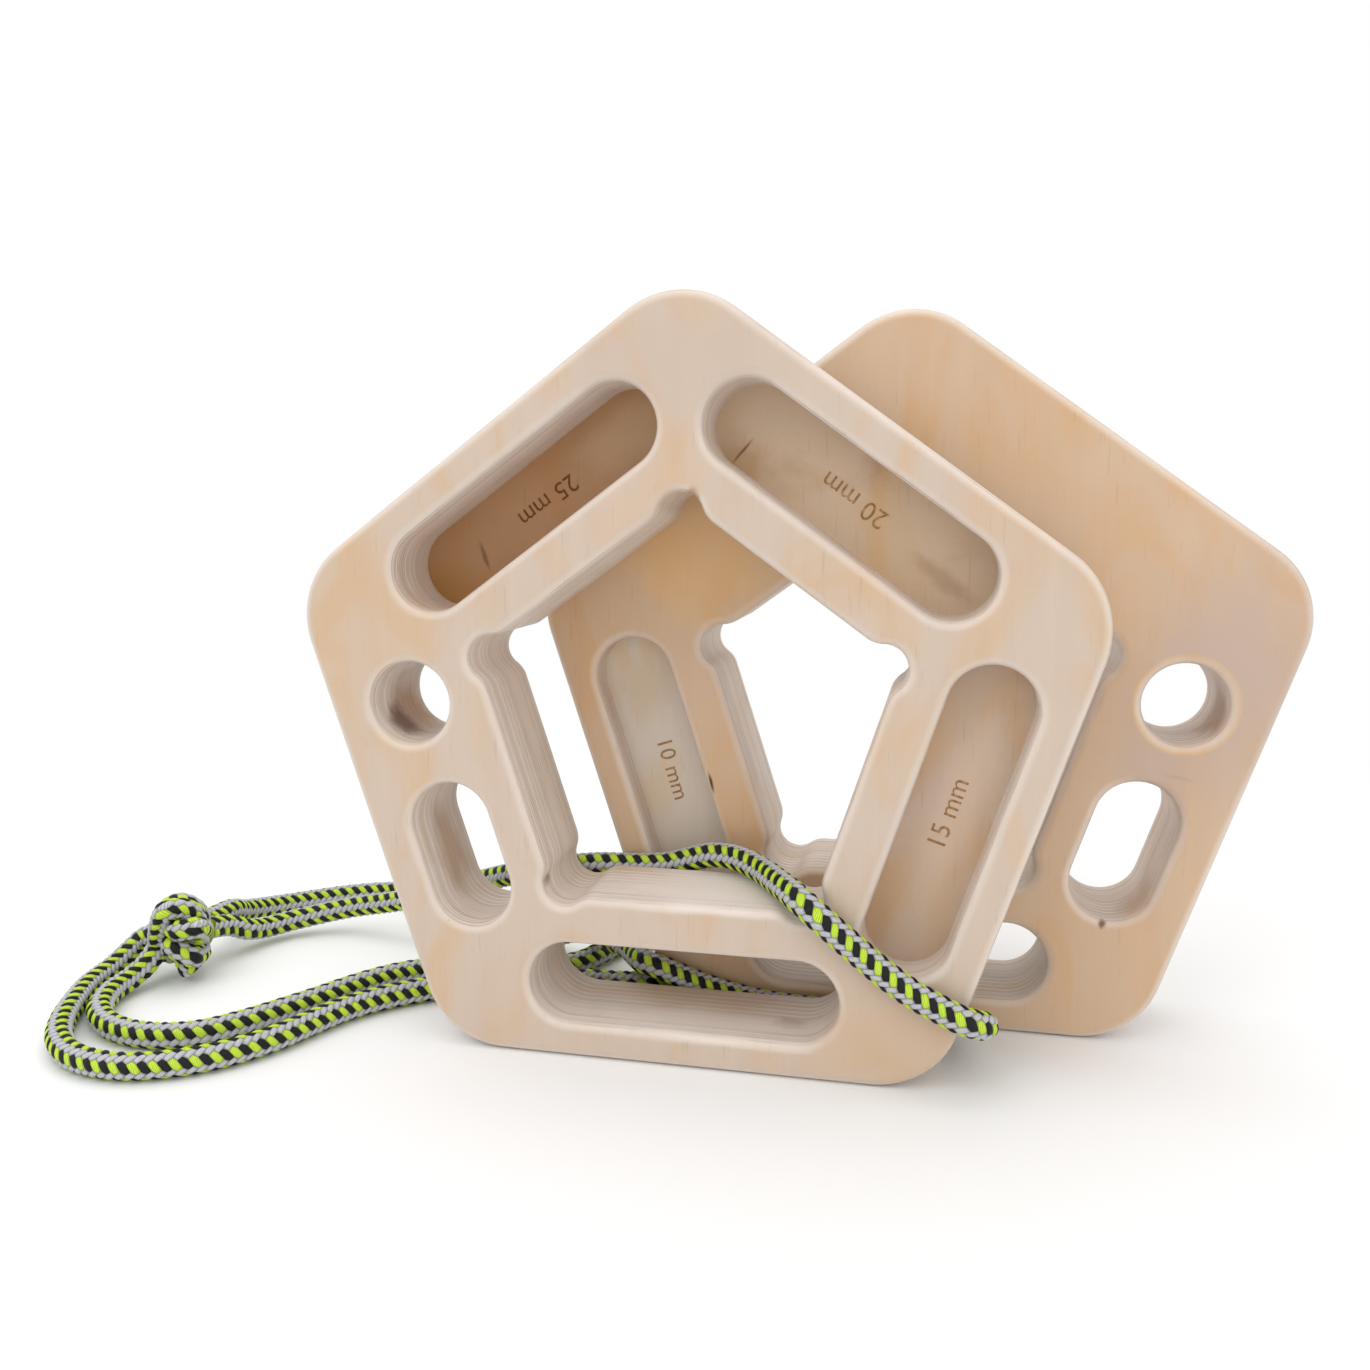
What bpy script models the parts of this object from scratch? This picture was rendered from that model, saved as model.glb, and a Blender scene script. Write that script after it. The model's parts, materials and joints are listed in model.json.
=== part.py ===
# Portable hangboard: two pentagonal plywood boards standing one behind the other, tied by a knotted cord.
# Metres, +Z up. The origin is on the floor under the middle of the pair of boards.
# The front board shows its front face (towards -Y), the rear board is turned and shows its rear face.

import bpy
import bmesh
import math
import numpy as np
from mathutils import Vector

# Board blank
BOARD_APOTHEM = 0.100
BOARD_THICKNESS = 0.036
BOARD_CORNER_RADIUS = 0.025
EDGE_ROUNDOVER = 0.003
ROUNDOVER_STEPS = 3
CORNER_STEPS = 8

# Central opening: a pentagon with a relief ear in each corner
OPENING_APOTHEM = 0.051
EAR_RADIUS = 0.0065
EAR_CENTRE_RADIUS = 0.0585
EAR_BLEND_RADIUS = 0.008
EAR_STEPS = 8
BLEND_STEPS = 3

# How the solids are cut: the cutters' reach past the faces, and the tolerances of the welded meshes
CUTTER_OVERRUN = 0.004
WELD_DISTANCE = 0.000001
FACE_TOLERANCE = 0.00001
FLAT_ANGLE = 0.0001
RIM_ANGLE = math.radians(60)
SMOOTHING_ANGLE = math.radians(40)

# Finger holds: round ended slots set square to the board's sides
HOLD_WIDTH = 0.024
HOLD_LENGTH = 0.091
HOLD_CENTRE_RADIUS = 0.0775
HOLD_END_STEPS = 10
JUG_WIDTH = 0.024
JUG_LENGTH = 0.091
JUG_CENTRE_RADIUS = 0.0775
DEPTH_TOP_LEFT = 0.025
DEPTH_TOP_RIGHT = 0.020
DEPTH_RIGHT = 0.015
DEPTH_REAR_RIGHT = 0.010

# Left side: a one-finger hole above a two-finger slot, both right through
MONO_DIAMETER = 0.024
MONO_CENTRE_RADIUS = 0.0755
MONO_SHIFT = -0.0289
MONO_STEPS = 20
TWO_FINGER_WIDTH = 0.024
TWO_FINGER_LENGTH = 0.0435
TWO_FINGER_CENTRE_RADIUS = 0.0755
TWO_FINGER_SHIFT = 0.0182

# Where the two boards stand
BOARD_GAP = 0.009
SIDE_STEP = 0.059

# Cord
CORD_DIAMETER = 0.008
CORD_SIDES_RESOLUTION = 3
SQUARE_END = 0.002
SPLINE_STEPS = 24
MAX_STEP_IN_DIAMETERS = 3.0
MAX_TURN = math.radians(35)

# Knot: the tight three-lobed heart of the doubled overhand knot
KNOT_PLACE = (-0.2135, -0.003)
KNOT_LOBE_SCALE = 0.0044
KNOT_DEPTH_SCALE = 0.0060
KNOT_CORD_DIAMETER = 0.0058
KNOT_LEAN = math.radians(-30)
KNOT_ROLL = math.radians(28)
KNOT_TURN = math.radians(31)
KNOT_STEPS = 54
KNOT_NEIGHBOURS = 6
FLOOR_CLEARANCE = 0.0001

# Colours and roughness of the flat materials
PALE_WOOD = (0.66, 0.52, 0.37)
TAN_WOOD = (0.60, 0.43, 0.28)
WOOD_ROUGHNESS = 0.48
FRONT_LOOP_COLOUR = (0.52, 0.62, 0.18)
OUTER_STRAND_COLOUR = (0.50, 0.60, 0.18)
INNER_STRAND_COLOUR = (0.48, 0.58, 0.17)
BIGHT_COLOUR = (0.46, 0.56, 0.17)
KNOT_COLOUR = (0.50, 0.61, 0.17)
CORD_ROUGHNESS = 0.75

# Directions from the centre to the middle of each side, seen from the front
SIDE_BOTTOM = math.radians(-90)
SIDE_RIGHT = math.radians(-18)
SIDE_TOP_RIGHT = math.radians(54)
SIDE_TOP_LEFT = math.radians(126)
SIDE_LEFT = math.radians(198)
HALF_SECTOR = math.radians(36)

# Routes of the cord's centre line, points chosen by hand in millimetres
FRONT_LOOP_ROUTE = (
    (-206.8, 8.9, 11.8), (-204, 14.6, 8.6), (-202.3, 23, 6.2), (-194.5, 33.8, 6.4), (-177.3, 41.5, 9.5),
    (-155, 40, 14.5), (-134, 34, 22), (-110.5, 21.9, 32), (-92, 10.5, 39.5),
    (-78, 3, 44), (-65, 0.1, 46.6), (-52, 0, 47.2), (-42, 0.1, 48.2), (-34, -1, 50.8),
    (-26, -4.2, 53.5), (-17.5, -9.3, 54.3), (-9, -18, 53.8), (-3, -28, 53.9), (1.4, -35.8, 54),
    (5.5, -41.6, 53.2), (10.2, -44.7, 50.5), (15, -45, 46.6), (21, -44.9, 41.6), (28, -44.9, 36.1),
    (35.6, -44.9, 31), (43, -44.9, 27.2), (50.2, -44.7, 24), (55, -40, 21.2),
    (55.4, -32, 17.9), (54, -22.4, 13.8), (51.5, -12.8, 10), (47.2, -3.7, 6.4), (39.5, 0, 4.6),
    (30, 0, 4.1), (16, 0, 4.1), (3, 0, 4.1), (-7, 0, 4.5), (-17.6, 0, 5.8), (-29, 0, 8.3),
    (-38, 0, 11.2), (-45.4, 0, 13.8), (-51.2, 2.8, 14), (-55, 8.8, 13.2), (-59.3, 15.4, 12.8),
    (-66, 21.4, 13), (-73.5, 26, 13.3), (-80.5, 31, 12.9), (-87.5, 36, 8.9), (-95.5, 41, 5.4),
    (-106, 46.4, 4.1), (-123, 54.4, 4.1), (-143, 64.5, 4.1), (-160, 73.5, 4.1), (-176, 78.5, 4.1),
    (-192.4, 71.5, 4.1), (-206, 60, 4.2), (-213.5, 47, 5.8), (-215.7, 31, 11.5), (-214, 20, 18),
    (-212, 12.7, 21.2),
)
OUTER_STRAND_ROUTE = (
    (-227, -10.1, 12.5), (-230.8, -13, 8.6), (-233, -18.6, 5.2), (-233, -26, 4.1), (-231.5, -33.5, 4.1),
    (-227.4, -44, 4.1),
    (-219.9, -59.2, 4.1), (-211.5, -70.5, 4.1), (-201.6, -78, 4.1), (-191.3, -81.2, 4.1),
    (-180.4, -81.1, 4.1), (-170.8, -77.6, 4.1), (-163, -72.6, 4.1), (-155.5, -64.8, 4.1),
    (-149, -54.4, 4.1), (-144.6, -43.6, 4.1), (-139.4, -32, 4.1), (-132, -21.8, 4.1),
    (-121.4, -12.2, 4.1), (-109.5, -4.7, 4.1), (-97, 0.7, 4.1), (-83, 3.8, 4.1),
    (-70.5, 5.9, 4.1), (-60, 6.8, 4.1), (-52.5, 8.6, 4.1), (-47.8, 14.4, 4.1), (-46.3, 24, 4.1),
    (-46.2, 34, 4.1), (-46.2, 44, 4.1),
)
INNER_STRAND_ROUTE = (
    (-217.3, -17, 11.2), (-218.9, -21.8, 7.3), (-220.7, -28, 4.7), (-220.6, -36, 4.1),
    (-217.3, -45, 4.1), (-212.8, -51.6, 4.1), (-205.2, -57.8, 4.1), (-194.6, -61.7, 4.1), (-183.6, -61.6, 4.1),
    (-173.6, -57.4, 4.1), (-165.6, -48.7, 4.1), (-158.6, -38.1, 4.1), (-151.6, -26.4, 4.1),
    (-144.4, -13.4, 4.1), (-136, -2.6, 4.1), (-126.6, 4.4, 4.1), (-115.5, 9.2, 4.1),
    (-104, 11.8, 4.1), (-93.5, 13.2, 4.1), (-84.5, 16.4, 4.1), (-78, 22.6, 4.1),
    (-74, 32, 4.1), (-69, 43.5, 4.1), (-62, 51.4, 4.1), (-55, 56, 4.1),
)
BIGHT_ROUTE = (
    (-46.2, 44.4, 4.1), (-45.8, 48.6, 4.1), (-42.8, 52.8, 4.1), (-37.6, 55, 4.1), (-28.5, 56, 4.1), (-13, 56.3, 4.1),
    (2, 56.9, 4.2), (13.5, 56.8, 6.6), (20.6, 54.8, 13), (24, 51.4, 22.6), (25, 48, 33),
    (25.1, 46.1, 43.5), (25.1, 43.4, 51.5), (25.1, 36.6, 54.5), (25.1, 23, 53.8), (25.1, 9.2, 54.5),
    (25.1, 2.1, 51.9), (25.1, 0, 45.5), (26.1, 0, 35), (30.2, 0, 27.2), (36, 0, 24.6), (41.8, 0, 27.2),
    (45.9, 0, 35), (46.9, 0, 45.5), (46.9, 2.1, 51.9), (46.9, 9.2, 54.5), (46.9, 23, 53.8),
    (46.9, 36.6, 54.5), (47, 43.5, 51.6), (47, 47, 42.6), (46.2, 51, 31), (42.6, 56.8, 19),
    (35, 62.8, 9.6), (24.5, 66.6, 4.9), (11, 68, 4.1), (-6, 68, 4.1), (-24, 67.2, 4.1),
    (-40, 64.2, 4.1), (-48, 60.4, 4.1), (-54.6, 56.25, 4.1),
)
MILLIMETRE = 0.001


def clear_scene():
    for item in list(bpy.data.objects):
        bpy.data.objects.remove(item, do_unlink=True)


def make_collection(name):
    group = bpy.data.collections.new(name)
    bpy.context.scene.collection.children.link(group)
    return group


def make_material(name, colour, roughness, metallic=0.0):
    material = bpy.data.materials.new(name)
    material.use_nodes = True
    shader = material.node_tree.nodes["Principled BSDF"]
    shader.inputs["Base Color"].default_value = (*colour, 1.0)
    shader.inputs["Roughness"].default_value = roughness
    shader.inputs["Metallic"].default_value = metallic
    return material


def unit(angle):
    return np.array((math.cos(angle), math.sin(angle)))


def arc(centre, radius, start, turn, steps):
    """Points on an arc, without its last point."""
    return [centre + radius * unit(start + turn * step / steps) for step in range(steps)]


def board_outline():
    """A regular pentagon on its flat side, with rounded corners."""
    spread = (BOARD_APOTHEM - BOARD_CORNER_RADIUS) / math.cos(HALF_SECTOR)
    points = []
    for side in range(5):
        bisector = SIDE_BOTTOM + HALF_SECTOR * (2 * side + 1)
        centre = spread * unit(bisector)
        points += arc(centre, BOARD_CORNER_RADIUS, bisector - HALF_SECTOR, 2 * HALF_SECTOR, CORNER_STEPS)
        points.append(centre + BOARD_CORNER_RADIUS * unit(bisector + HALF_SECTOR))
    return points


def ear_outline(bisector):
    """One corner of the opening: a blend arc, the ear and the other blend arc."""
    ear = EAR_CENTRE_RADIUS * unit(bisector)
    blends = []
    for sign in (-1, 1):
        wall = bisector + sign * HALF_SECTOR
        normal = unit(wall)
        along = unit(wall - sign * math.pi / 2)
        rise = OPENING_APOTHEM + EAR_BLEND_RADIUS - float(ear @ normal)
        reach = math.sqrt((EAR_RADIUS + EAR_BLEND_RADIUS) ** 2 - rise ** 2)
        centre = ear + rise * normal - reach * along
        towards_ear = math.atan2(*(ear - centre)[::-1])
        blends.append((centre, wall + math.pi, towards_ear))
    first, last = blends
    start_turn = math.remainder(first[2] - first[1], 2 * math.pi)
    end_turn = math.remainder(last[1] - last[2], 2 * math.pi)
    ear_start = first[2] + math.pi
    ear_turn = (last[2] + math.pi - ear_start) % (2 * math.pi)
    points = arc(first[0], EAR_BLEND_RADIUS, first[1], start_turn, BLEND_STEPS)
    points += arc(ear, EAR_RADIUS, ear_start, ear_turn, EAR_STEPS)
    points += arc(last[0], EAR_BLEND_RADIUS, last[2], end_turn, BLEND_STEPS)
    points.append(last[0] + EAR_BLEND_RADIUS * unit(last[1]))
    return points


def opening_outline():
    points = []
    for side in range(5):
        points += ear_outline(SIDE_BOTTOM + HALF_SECTOR * (2 * side + 1))
    return points


def slot_outline(side, centre_radius, shift, width, length, end_steps):
    """A round ended slot whose long way runs along the board's side."""
    normal = unit(side)
    along = unit(side + math.pi / 2)
    centre = centre_radius * normal + shift * along
    straight = (length - width) / 2
    points = arc(centre + straight * along, width / 2, side, math.pi, end_steps)
    if straight > 0:
        points.append(centre + straight * along - width / 2 * normal)
    points += arc(centre - straight * along, width / 2, side + math.pi, math.pi, end_steps)
    if straight > 0:
        points.append(centre - straight * along + width / 2 * normal)
    return points


def prism(name, outline, low, high, group):
    """A flat outline extruded along local Z from low to high, as a welded mesh."""
    curve = bpy.data.curves.new(name, "CURVE")
    curve.dimensions = "2D"
    curve.fill_mode = "BOTH"
    curve.extrude = (high - low) / 2
    spline = curve.splines.new("POLY")
    spline.points.add(len(outline) - 1)
    for target, point in zip(spline.points, outline):
        target.co = (point[0], point[1], 0, 1)
    spline.use_cyclic_u = True
    sketch = bpy.data.objects.new(name + "_sketch", curve)
    group.objects.link(sketch)
    sketch.location.z = (low + high) / 2
    solid = welded_copy(name, sketch, group)
    bpy.data.objects.remove(sketch, do_unlink=True)
    return solid


def welded_copy(name, source, group):
    """The evaluated mesh of an object in world space, with its doubles merged."""
    bpy.context.view_layer.update()
    graph = bpy.context.evaluated_depsgraph_get()
    evaluated = source.evaluated_get(graph)
    mesh = bpy.data.meshes.new_from_object(evaluated)
    mesh.transform(source.matrix_world)
    form = bmesh.new()
    form.from_mesh(mesh)
    bmesh.ops.remove_doubles(form, verts=form.verts, dist=WELD_DISTANCE)
    bmesh.ops.recalc_face_normals(form, faces=form.faces)
    form.to_mesh(mesh)
    form.free()
    mesh.name = name
    result = bpy.data.objects.new(name, mesh)
    group.objects.link(result)
    return result


def board_cutters(group):
    """Every hollow of the board, with the front face at +Z."""
    face = BOARD_THICKNESS / 2
    past = face + CUTTER_OVERRUN
    pockets = (
        ("pocket_top_left", SIDE_TOP_LEFT, face - DEPTH_TOP_LEFT, past),
        ("pocket_top_right", SIDE_TOP_RIGHT, face - DEPTH_TOP_RIGHT, past),
        ("pocket_right", SIDE_RIGHT, face - DEPTH_RIGHT, past),
        ("pocket_rear_right", SIDE_RIGHT, -past, DEPTH_REAR_RIGHT - face),
    )
    cutters = [prism("opening_cutter", opening_outline(), -past, past, group)]
    for name, side, low, high in pockets:
        outline = slot_outline(side, HOLD_CENTRE_RADIUS, 0, HOLD_WIDTH, HOLD_LENGTH, HOLD_END_STEPS)
        cutters.append(prism(name, outline, low, high, group))
    jug = slot_outline(SIDE_BOTTOM, JUG_CENTRE_RADIUS, 0, JUG_WIDTH, JUG_LENGTH, HOLD_END_STEPS)
    cutters.append(prism("jug_cutter", jug, -past, past, group))
    mono = slot_outline(SIDE_LEFT, MONO_CENTRE_RADIUS, MONO_SHIFT, MONO_DIAMETER, MONO_DIAMETER,
                        MONO_STEPS // 2)
    cutters.append(prism("mono_cutter", mono, -past, past, group))
    two_finger = slot_outline(SIDE_LEFT, TWO_FINGER_CENTRE_RADIUS, TWO_FINGER_SHIFT,
                              TWO_FINGER_WIDTH, TWO_FINGER_LENGTH, HOLD_END_STEPS)
    cutters.append(prism("two_finger_cutter", two_finger, -past, past, group))
    for cutter in cutters:
        cutter.hide_render = True
        cutter.display_type = "WIRE"
    return cutters


def mark_rims(mesh):
    """Weights the edges where a wall meets the front or the rear face, for the roundover."""
    face = BOARD_THICKNESS / 2
    form = bmesh.new()
    form.from_mesh(mesh)
    bmesh.ops.dissolve_limit(form, angle_limit=FLAT_ANGLE, verts=form.verts, edges=form.edges)
    weights = form.edges.layers.float.new("bevel_weight_edge")
    for edge in form.edges:
        on_face = all(abs(abs(vertex.co.z) - face) < FACE_TOLERANCE for vertex in edge.verts)
        turned = len(edge.link_faces) == 2 and edge.calc_face_angle() > RIM_ANGLE
        edge[weights] = 1.0 if on_face and turned else 0.0
    form.to_mesh(mesh)
    form.free()


def board_mesh(parts, cutter_group):
    """The shared solid of both boards, flat in local XY with its front face at +Z."""
    face = BOARD_THICKNESS / 2
    blank = prism("board_blank", board_outline(), -face, face, parts)
    for cutter in board_cutters(cutter_group):
        cut = blank.modifiers.new(cutter.name, "BOOLEAN")
        cut.operation = "DIFFERENCE"
        cut.object = cutter
    board = welded_copy("board", blank, parts)
    bpy.data.objects.remove(blank, do_unlink=True)
    mark_rims(board.data)
    rounding = board.modifiers.new("roundover", "BEVEL")
    rounding.limit_method = "WEIGHT"
    rounding.width = EDGE_ROUNDOVER
    rounding.segments = ROUNDOVER_STEPS
    rounding.use_clamp_overlap = False
    rounded = welded_copy("board_solid", board, parts)
    bpy.data.objects.remove(board, do_unlink=True)
    mesh = rounded.data
    bpy.data.objects.remove(rounded, do_unlink=True)
    mesh.shade_smooth()
    mesh.set_sharp_from_angle(angle=SMOOTHING_ANGLE)
    return mesh


def place_board(name, mesh, across, along_y, turned, material, parent, parts):
    """Stands a board on its bottom side; a turned one shows its rear face to -Y."""
    own = mesh.copy()
    own.name = name
    own.materials.clear()
    own.materials.append(material)
    board = bpy.data.objects.new(name, own)
    parts.objects.link(board)
    board.parent = parent
    board.rotation_euler = (math.radians(90), 0, math.radians(180) if turned else 0)
    board.location = Vector((across, along_y, BOARD_APOTHEM)) - parent.location
    return board


def smooth_route(route):
    """Dense points on a centripetal spline through the route's own points, in metres."""
    own = np.array(route, dtype=float) * MILLIMETRE
    own = np.vstack((2 * own[0] - own[1], own, 2 * own[-1] - own[-2]))
    dense = []
    for index in range(1, len(own) - 2):
        a, b, c, d = own[index - 1:index + 3]
        knots = np.cumsum([0] + [math.sqrt(np.linalg.norm(q - p)) for p, q in ((a, b), (b, c), (c, d))])
        for part in np.linspace(knots[1], knots[2], SPLINE_STEPS, endpoint=False):
            ab = blend(a, b, knots[0], knots[1], part)
            bc = blend(b, c, knots[1], knots[2], part)
            cd = blend(c, d, knots[2], knots[3], part)
            abc = blend(ab, bc, knots[0], knots[2], part)
            bcd = blend(bc, cd, knots[1], knots[3], part)
            dense.append(blend(abc, bcd, knots[1], knots[2], part))
    dense.append(own[-2])
    return np.array(dense)


def blend(start, end, low, high, part):
    return start + (end - start) * (part - low) / (high - low)


def tube_points(dense):
    """Points far apart on straight stretches, closer in the bends, with ends square to the route."""
    steps = np.diff(dense, axis=0)
    lengths = np.linalg.norm(steps, axis=1)
    headings = steps / lengths[:, None]
    turns = np.arccos(np.clip(np.sum(headings[:-1] * headings[1:], axis=1), -1, 1))
    by_length = lengths / (MAX_STEP_IN_DIAMETERS * CORD_DIAMETER)
    by_turn = np.append(turns, 0) / MAX_TURN
    effort = np.concatenate(([0], np.cumsum(np.maximum(by_length, by_turn))))
    run = np.concatenate(([0], np.cumsum(lengths)))
    first, last = np.interp((SQUARE_END, run[-1] - SQUARE_END), run, effort)
    inner = np.linspace(first, last, math.ceil(last - first) + 1)
    marks = np.concatenate(([0], inner, [effort[-1]]))
    return np.stack([np.interp(marks, effort, dense[:, axis]) for axis in range(3)], axis=1)


def make_tube(name, points, diameter, material, parent, parts, closed=False):
    curve = bpy.data.curves.new(name, "CURVE")
    curve.dimensions = "3D"
    curve.bevel_depth = diameter / 2
    curve.bevel_resolution = CORD_SIDES_RESOLUTION
    curve.use_fill_caps = not closed
    spline = curve.splines.new("POLY")
    spline.points.add(len(points) - 1)
    origin = np.array(parent.location) if parent else np.zeros(3)
    for target, point in zip(spline.points, points):
        target.co = (*(point - origin), 1)
    spline.use_cyclic_u = closed
    curve.materials.append(material)
    tube = bpy.data.objects.new(name, curve)
    parts.objects.link(tube)
    tube.parent = parent
    return tube


def knot_points():
    """A trefoil curve stood up on the floor: the tight lobes of the knot."""
    lean = np.array(((1, 0, 0), (0, math.cos(KNOT_LEAN), -math.sin(KNOT_LEAN)),
                     (0, math.sin(KNOT_LEAN), math.cos(KNOT_LEAN))))
    turn = np.array(((math.cos(KNOT_TURN), -math.sin(KNOT_TURN), 0),
                     (math.sin(KNOT_TURN), math.cos(KNOT_TURN), 0), (0, 0, 1)))
    points = []
    for step in range(KNOT_STEPS):
        angle = 2 * math.pi * step / KNOT_STEPS
        across = KNOT_LOBE_SCALE * (math.sin(angle) + 2 * math.sin(2 * angle))
        up = KNOT_LOBE_SCALE * (math.cos(angle) - 2 * math.cos(2 * angle))
        depth = KNOT_DEPTH_SCALE * math.sin(3 * angle)
        rolled = unit(KNOT_ROLL)
        flat = (across * rolled[0] - up * rolled[1], depth, across * rolled[1] + up * rolled[0])
        points.append(turn @ lean @ np.array(flat))
    points = np.array(points)
    lift = KNOT_CORD_DIAMETER / 2 + FLOOR_CLEARANCE - points[:, 2].min()
    return points + np.array((*KNOT_PLACE, lift))


def least_gap(name, points, diameter):
    """Prints how near the closed tube comes to itself, away from its own neighbouring points."""
    count = len(points)
    apart = [np.linalg.norm(points[a] - points[b]) for a in range(count) for b in range(a)
             if min(a - b, count - a + b) > KNOT_NEIGHBOURS]
    print(name, "least gap to itself, mm:", round((min(apart) - diameter) / MILLIMETRE, 2))


def build_boards(parts, cutter_group, pair_frame, slide_frame):
    mesh = board_mesh(parts, cutter_group)
    pale = make_material("birch_ply_pale", PALE_WOOD, WOOD_ROUGHNESS)
    tan = make_material("birch_ply_tan", TAN_WOOD, WOOD_ROUGHNESS)
    offset = (BOARD_GAP + BOARD_THICKNESS) / 2
    place_board("front_board", mesh, -SIDE_STEP / 2, -offset, False, pale, pair_frame, parts)
    place_board("rear_board", mesh, SIDE_STEP / 2, offset, True, tan, slide_frame, parts)


def build_cord(parts, pair_frame, slide_frame):
    strands = (
        ("front_cord_loop", FRONT_LOOP_ROUTE, FRONT_LOOP_COLOUR, pair_frame),
        ("rear_cord_outer_strand", OUTER_STRAND_ROUTE, OUTER_STRAND_COLOUR, pair_frame),
        ("rear_cord_inner_strand", INNER_STRAND_ROUTE, INNER_STRAND_COLOUR, pair_frame),
        ("rear_cord_bight", BIGHT_ROUTE, BIGHT_COLOUR, slide_frame),
    )
    for name, route, colour, parent in strands:
        dense = smooth_route(route)
        points = tube_points(dense)
        length = np.linalg.norm(np.diff(dense, axis=0), axis=1).sum()
        print(name, "length, mm:", round(length / MILLIMETRE), "points:", len(points))
        material = make_material(name + "_braid", colour, CORD_ROUGHNESS)
        make_tube(name, points, CORD_DIAMETER, material, parent, parts)
    knot = knot_points()
    least_gap("cord_knot", knot, KNOT_CORD_DIAMETER)
    material = make_material("cord_knot_braid", KNOT_COLOUR, CORD_ROUGHNESS)
    make_tube("cord_knot", knot, KNOT_CORD_DIAMETER, material, pair_frame, parts, closed=True)


def make_frame(name, location, parts):
    """An empty that pieces are parented to."""
    empty = bpy.data.objects.new(name, None)
    empty.location = location
    parts.objects.link(empty)
    return empty


def main():
    clear_scene()
    parts = make_collection("portable_hangboard")
    cutter_group = make_collection("portable_hangboard_cutters")
    pair_frame = make_frame("front_frame", (0, 0, 0), parts)
    slide_frame = make_frame("rear_slide_axis", (SIDE_STEP / 2, (BOARD_GAP + BOARD_THICKNESS) / 2, 0), parts)
    build_boards(parts, cutter_group, pair_frame, slide_frame)
    build_cord(parts, pair_frame, slide_frame)


main()
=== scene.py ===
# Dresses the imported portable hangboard: two plywood boards with routed finger holds, and a braided cord.
# Metres, +Z up, in the same frame as the CAD model. It is laid out as an add-on and run as a script.

import json
import math
from functools import partial, partialmethod

import bmesh
import bpy
import numpy as np
from bpy.props import FloatProperty, FloatVectorProperty, IntProperty, PointerProperty
from mathutils import Euler, Matrix, Vector
from mathutils.kdtree import KDTree

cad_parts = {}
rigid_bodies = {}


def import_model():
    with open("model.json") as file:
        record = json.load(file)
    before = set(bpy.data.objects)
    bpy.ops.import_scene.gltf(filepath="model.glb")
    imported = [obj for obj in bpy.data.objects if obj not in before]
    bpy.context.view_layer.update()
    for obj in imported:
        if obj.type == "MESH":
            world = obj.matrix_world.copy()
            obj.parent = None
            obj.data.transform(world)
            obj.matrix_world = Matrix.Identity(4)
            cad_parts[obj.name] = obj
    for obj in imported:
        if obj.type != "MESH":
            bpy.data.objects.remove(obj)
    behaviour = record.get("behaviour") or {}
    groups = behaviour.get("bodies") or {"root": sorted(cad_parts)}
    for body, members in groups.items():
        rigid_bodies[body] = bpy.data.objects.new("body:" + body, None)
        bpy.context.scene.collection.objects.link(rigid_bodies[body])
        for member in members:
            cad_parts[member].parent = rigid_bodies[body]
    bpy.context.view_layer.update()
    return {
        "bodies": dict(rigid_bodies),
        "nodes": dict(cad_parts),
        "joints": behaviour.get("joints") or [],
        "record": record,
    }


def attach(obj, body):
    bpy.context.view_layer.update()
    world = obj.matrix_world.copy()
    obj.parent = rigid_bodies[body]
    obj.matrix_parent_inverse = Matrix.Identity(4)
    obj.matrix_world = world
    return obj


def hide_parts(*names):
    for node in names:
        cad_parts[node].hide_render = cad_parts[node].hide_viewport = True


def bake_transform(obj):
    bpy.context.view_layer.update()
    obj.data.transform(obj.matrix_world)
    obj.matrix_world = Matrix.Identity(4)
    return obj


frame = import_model()

bl_info = {
    "name": "Portable hangboard",
    "version": (1, 0, 0),
    "blender": (4, 5, 0),
    "location": "3D View > Sidebar > Hangboard",
    "description": "Builds a pair of pentagonal plywood hangboards tied with a braided cord",
    "category": "Add Mesh",
}

MM = 0.001

# The camera fitted to the photo: image side and focal length in pixels, sensor width in millimetres, place,
# tilt down and turn to the left
IMAGE_SIDE = 1370
FOCAL_LENGTH = 1185.07
SENSOR_WIDTH = 36
CAMERA_PLACE = (0.04233, -0.35530, 0.16029)
CAMERA_TILT = math.radians(8.47)
CAMERA_TURN = math.radians(12.53)

# Lamps: share of the key's power, size and place. All of them aim at one spot.
LAMPS = {
    "key_light": (1.0, 0.9, (-0.5, -0.9, 1.1)),
    "fill_light": (0.45, 1.0, (0.9, -0.8, 0.6)),
    "top_light": (1.0, 1.0, (-0.1, 0.1, 1.3)),
}
LAMP_AIM = (0, 0, 0.1)
# How brightly the white surroundings light the object
AMBIENT = 0.92
# The floor: its side, how far it lies below the object, and where it starts to fade and where it is white
FLOOR_SIDE = 12
FLOOR_DROP = 0.0002
FADE = (0.22, 0.60)

# Directions from a board's centre to the middle of each side, seen from the front
SIDE_BOTTOM = math.radians(-90)
SIDE_RIGHT = math.radians(-18)
SIDE_TOP_RIGHT = math.radians(54)
SIDE_TOP_LEFT = math.radians(126)
SIDE_LEFT = math.radians(198)
# Half the angle from one side to the next
HALF_SECTOR = math.radians(36)
# Directions to its corners
CORNERS = [SIDE_BOTTOM + HALF_SECTOR * (2 * side + 1) for side in range(5)]

# Points on the outlines' arcs, and rings on the walls
CORNER_STEPS = 20
EAR_STEPS = 18
BLEND_STEPS = 7
SLOT_STEPS = 24
ROUNDOVER_STEPS = 6
WALL_STEPS = 3

# Material slots of a board's mesh
WOOD, SCORCHED, FLOOR_25, FLOOR_20, FLOOR_15, FLOOR_10 = range(6)

# Body of each board, and whether the board is turned half round
BOARDS = (("front", False), ("rear", True))
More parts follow.
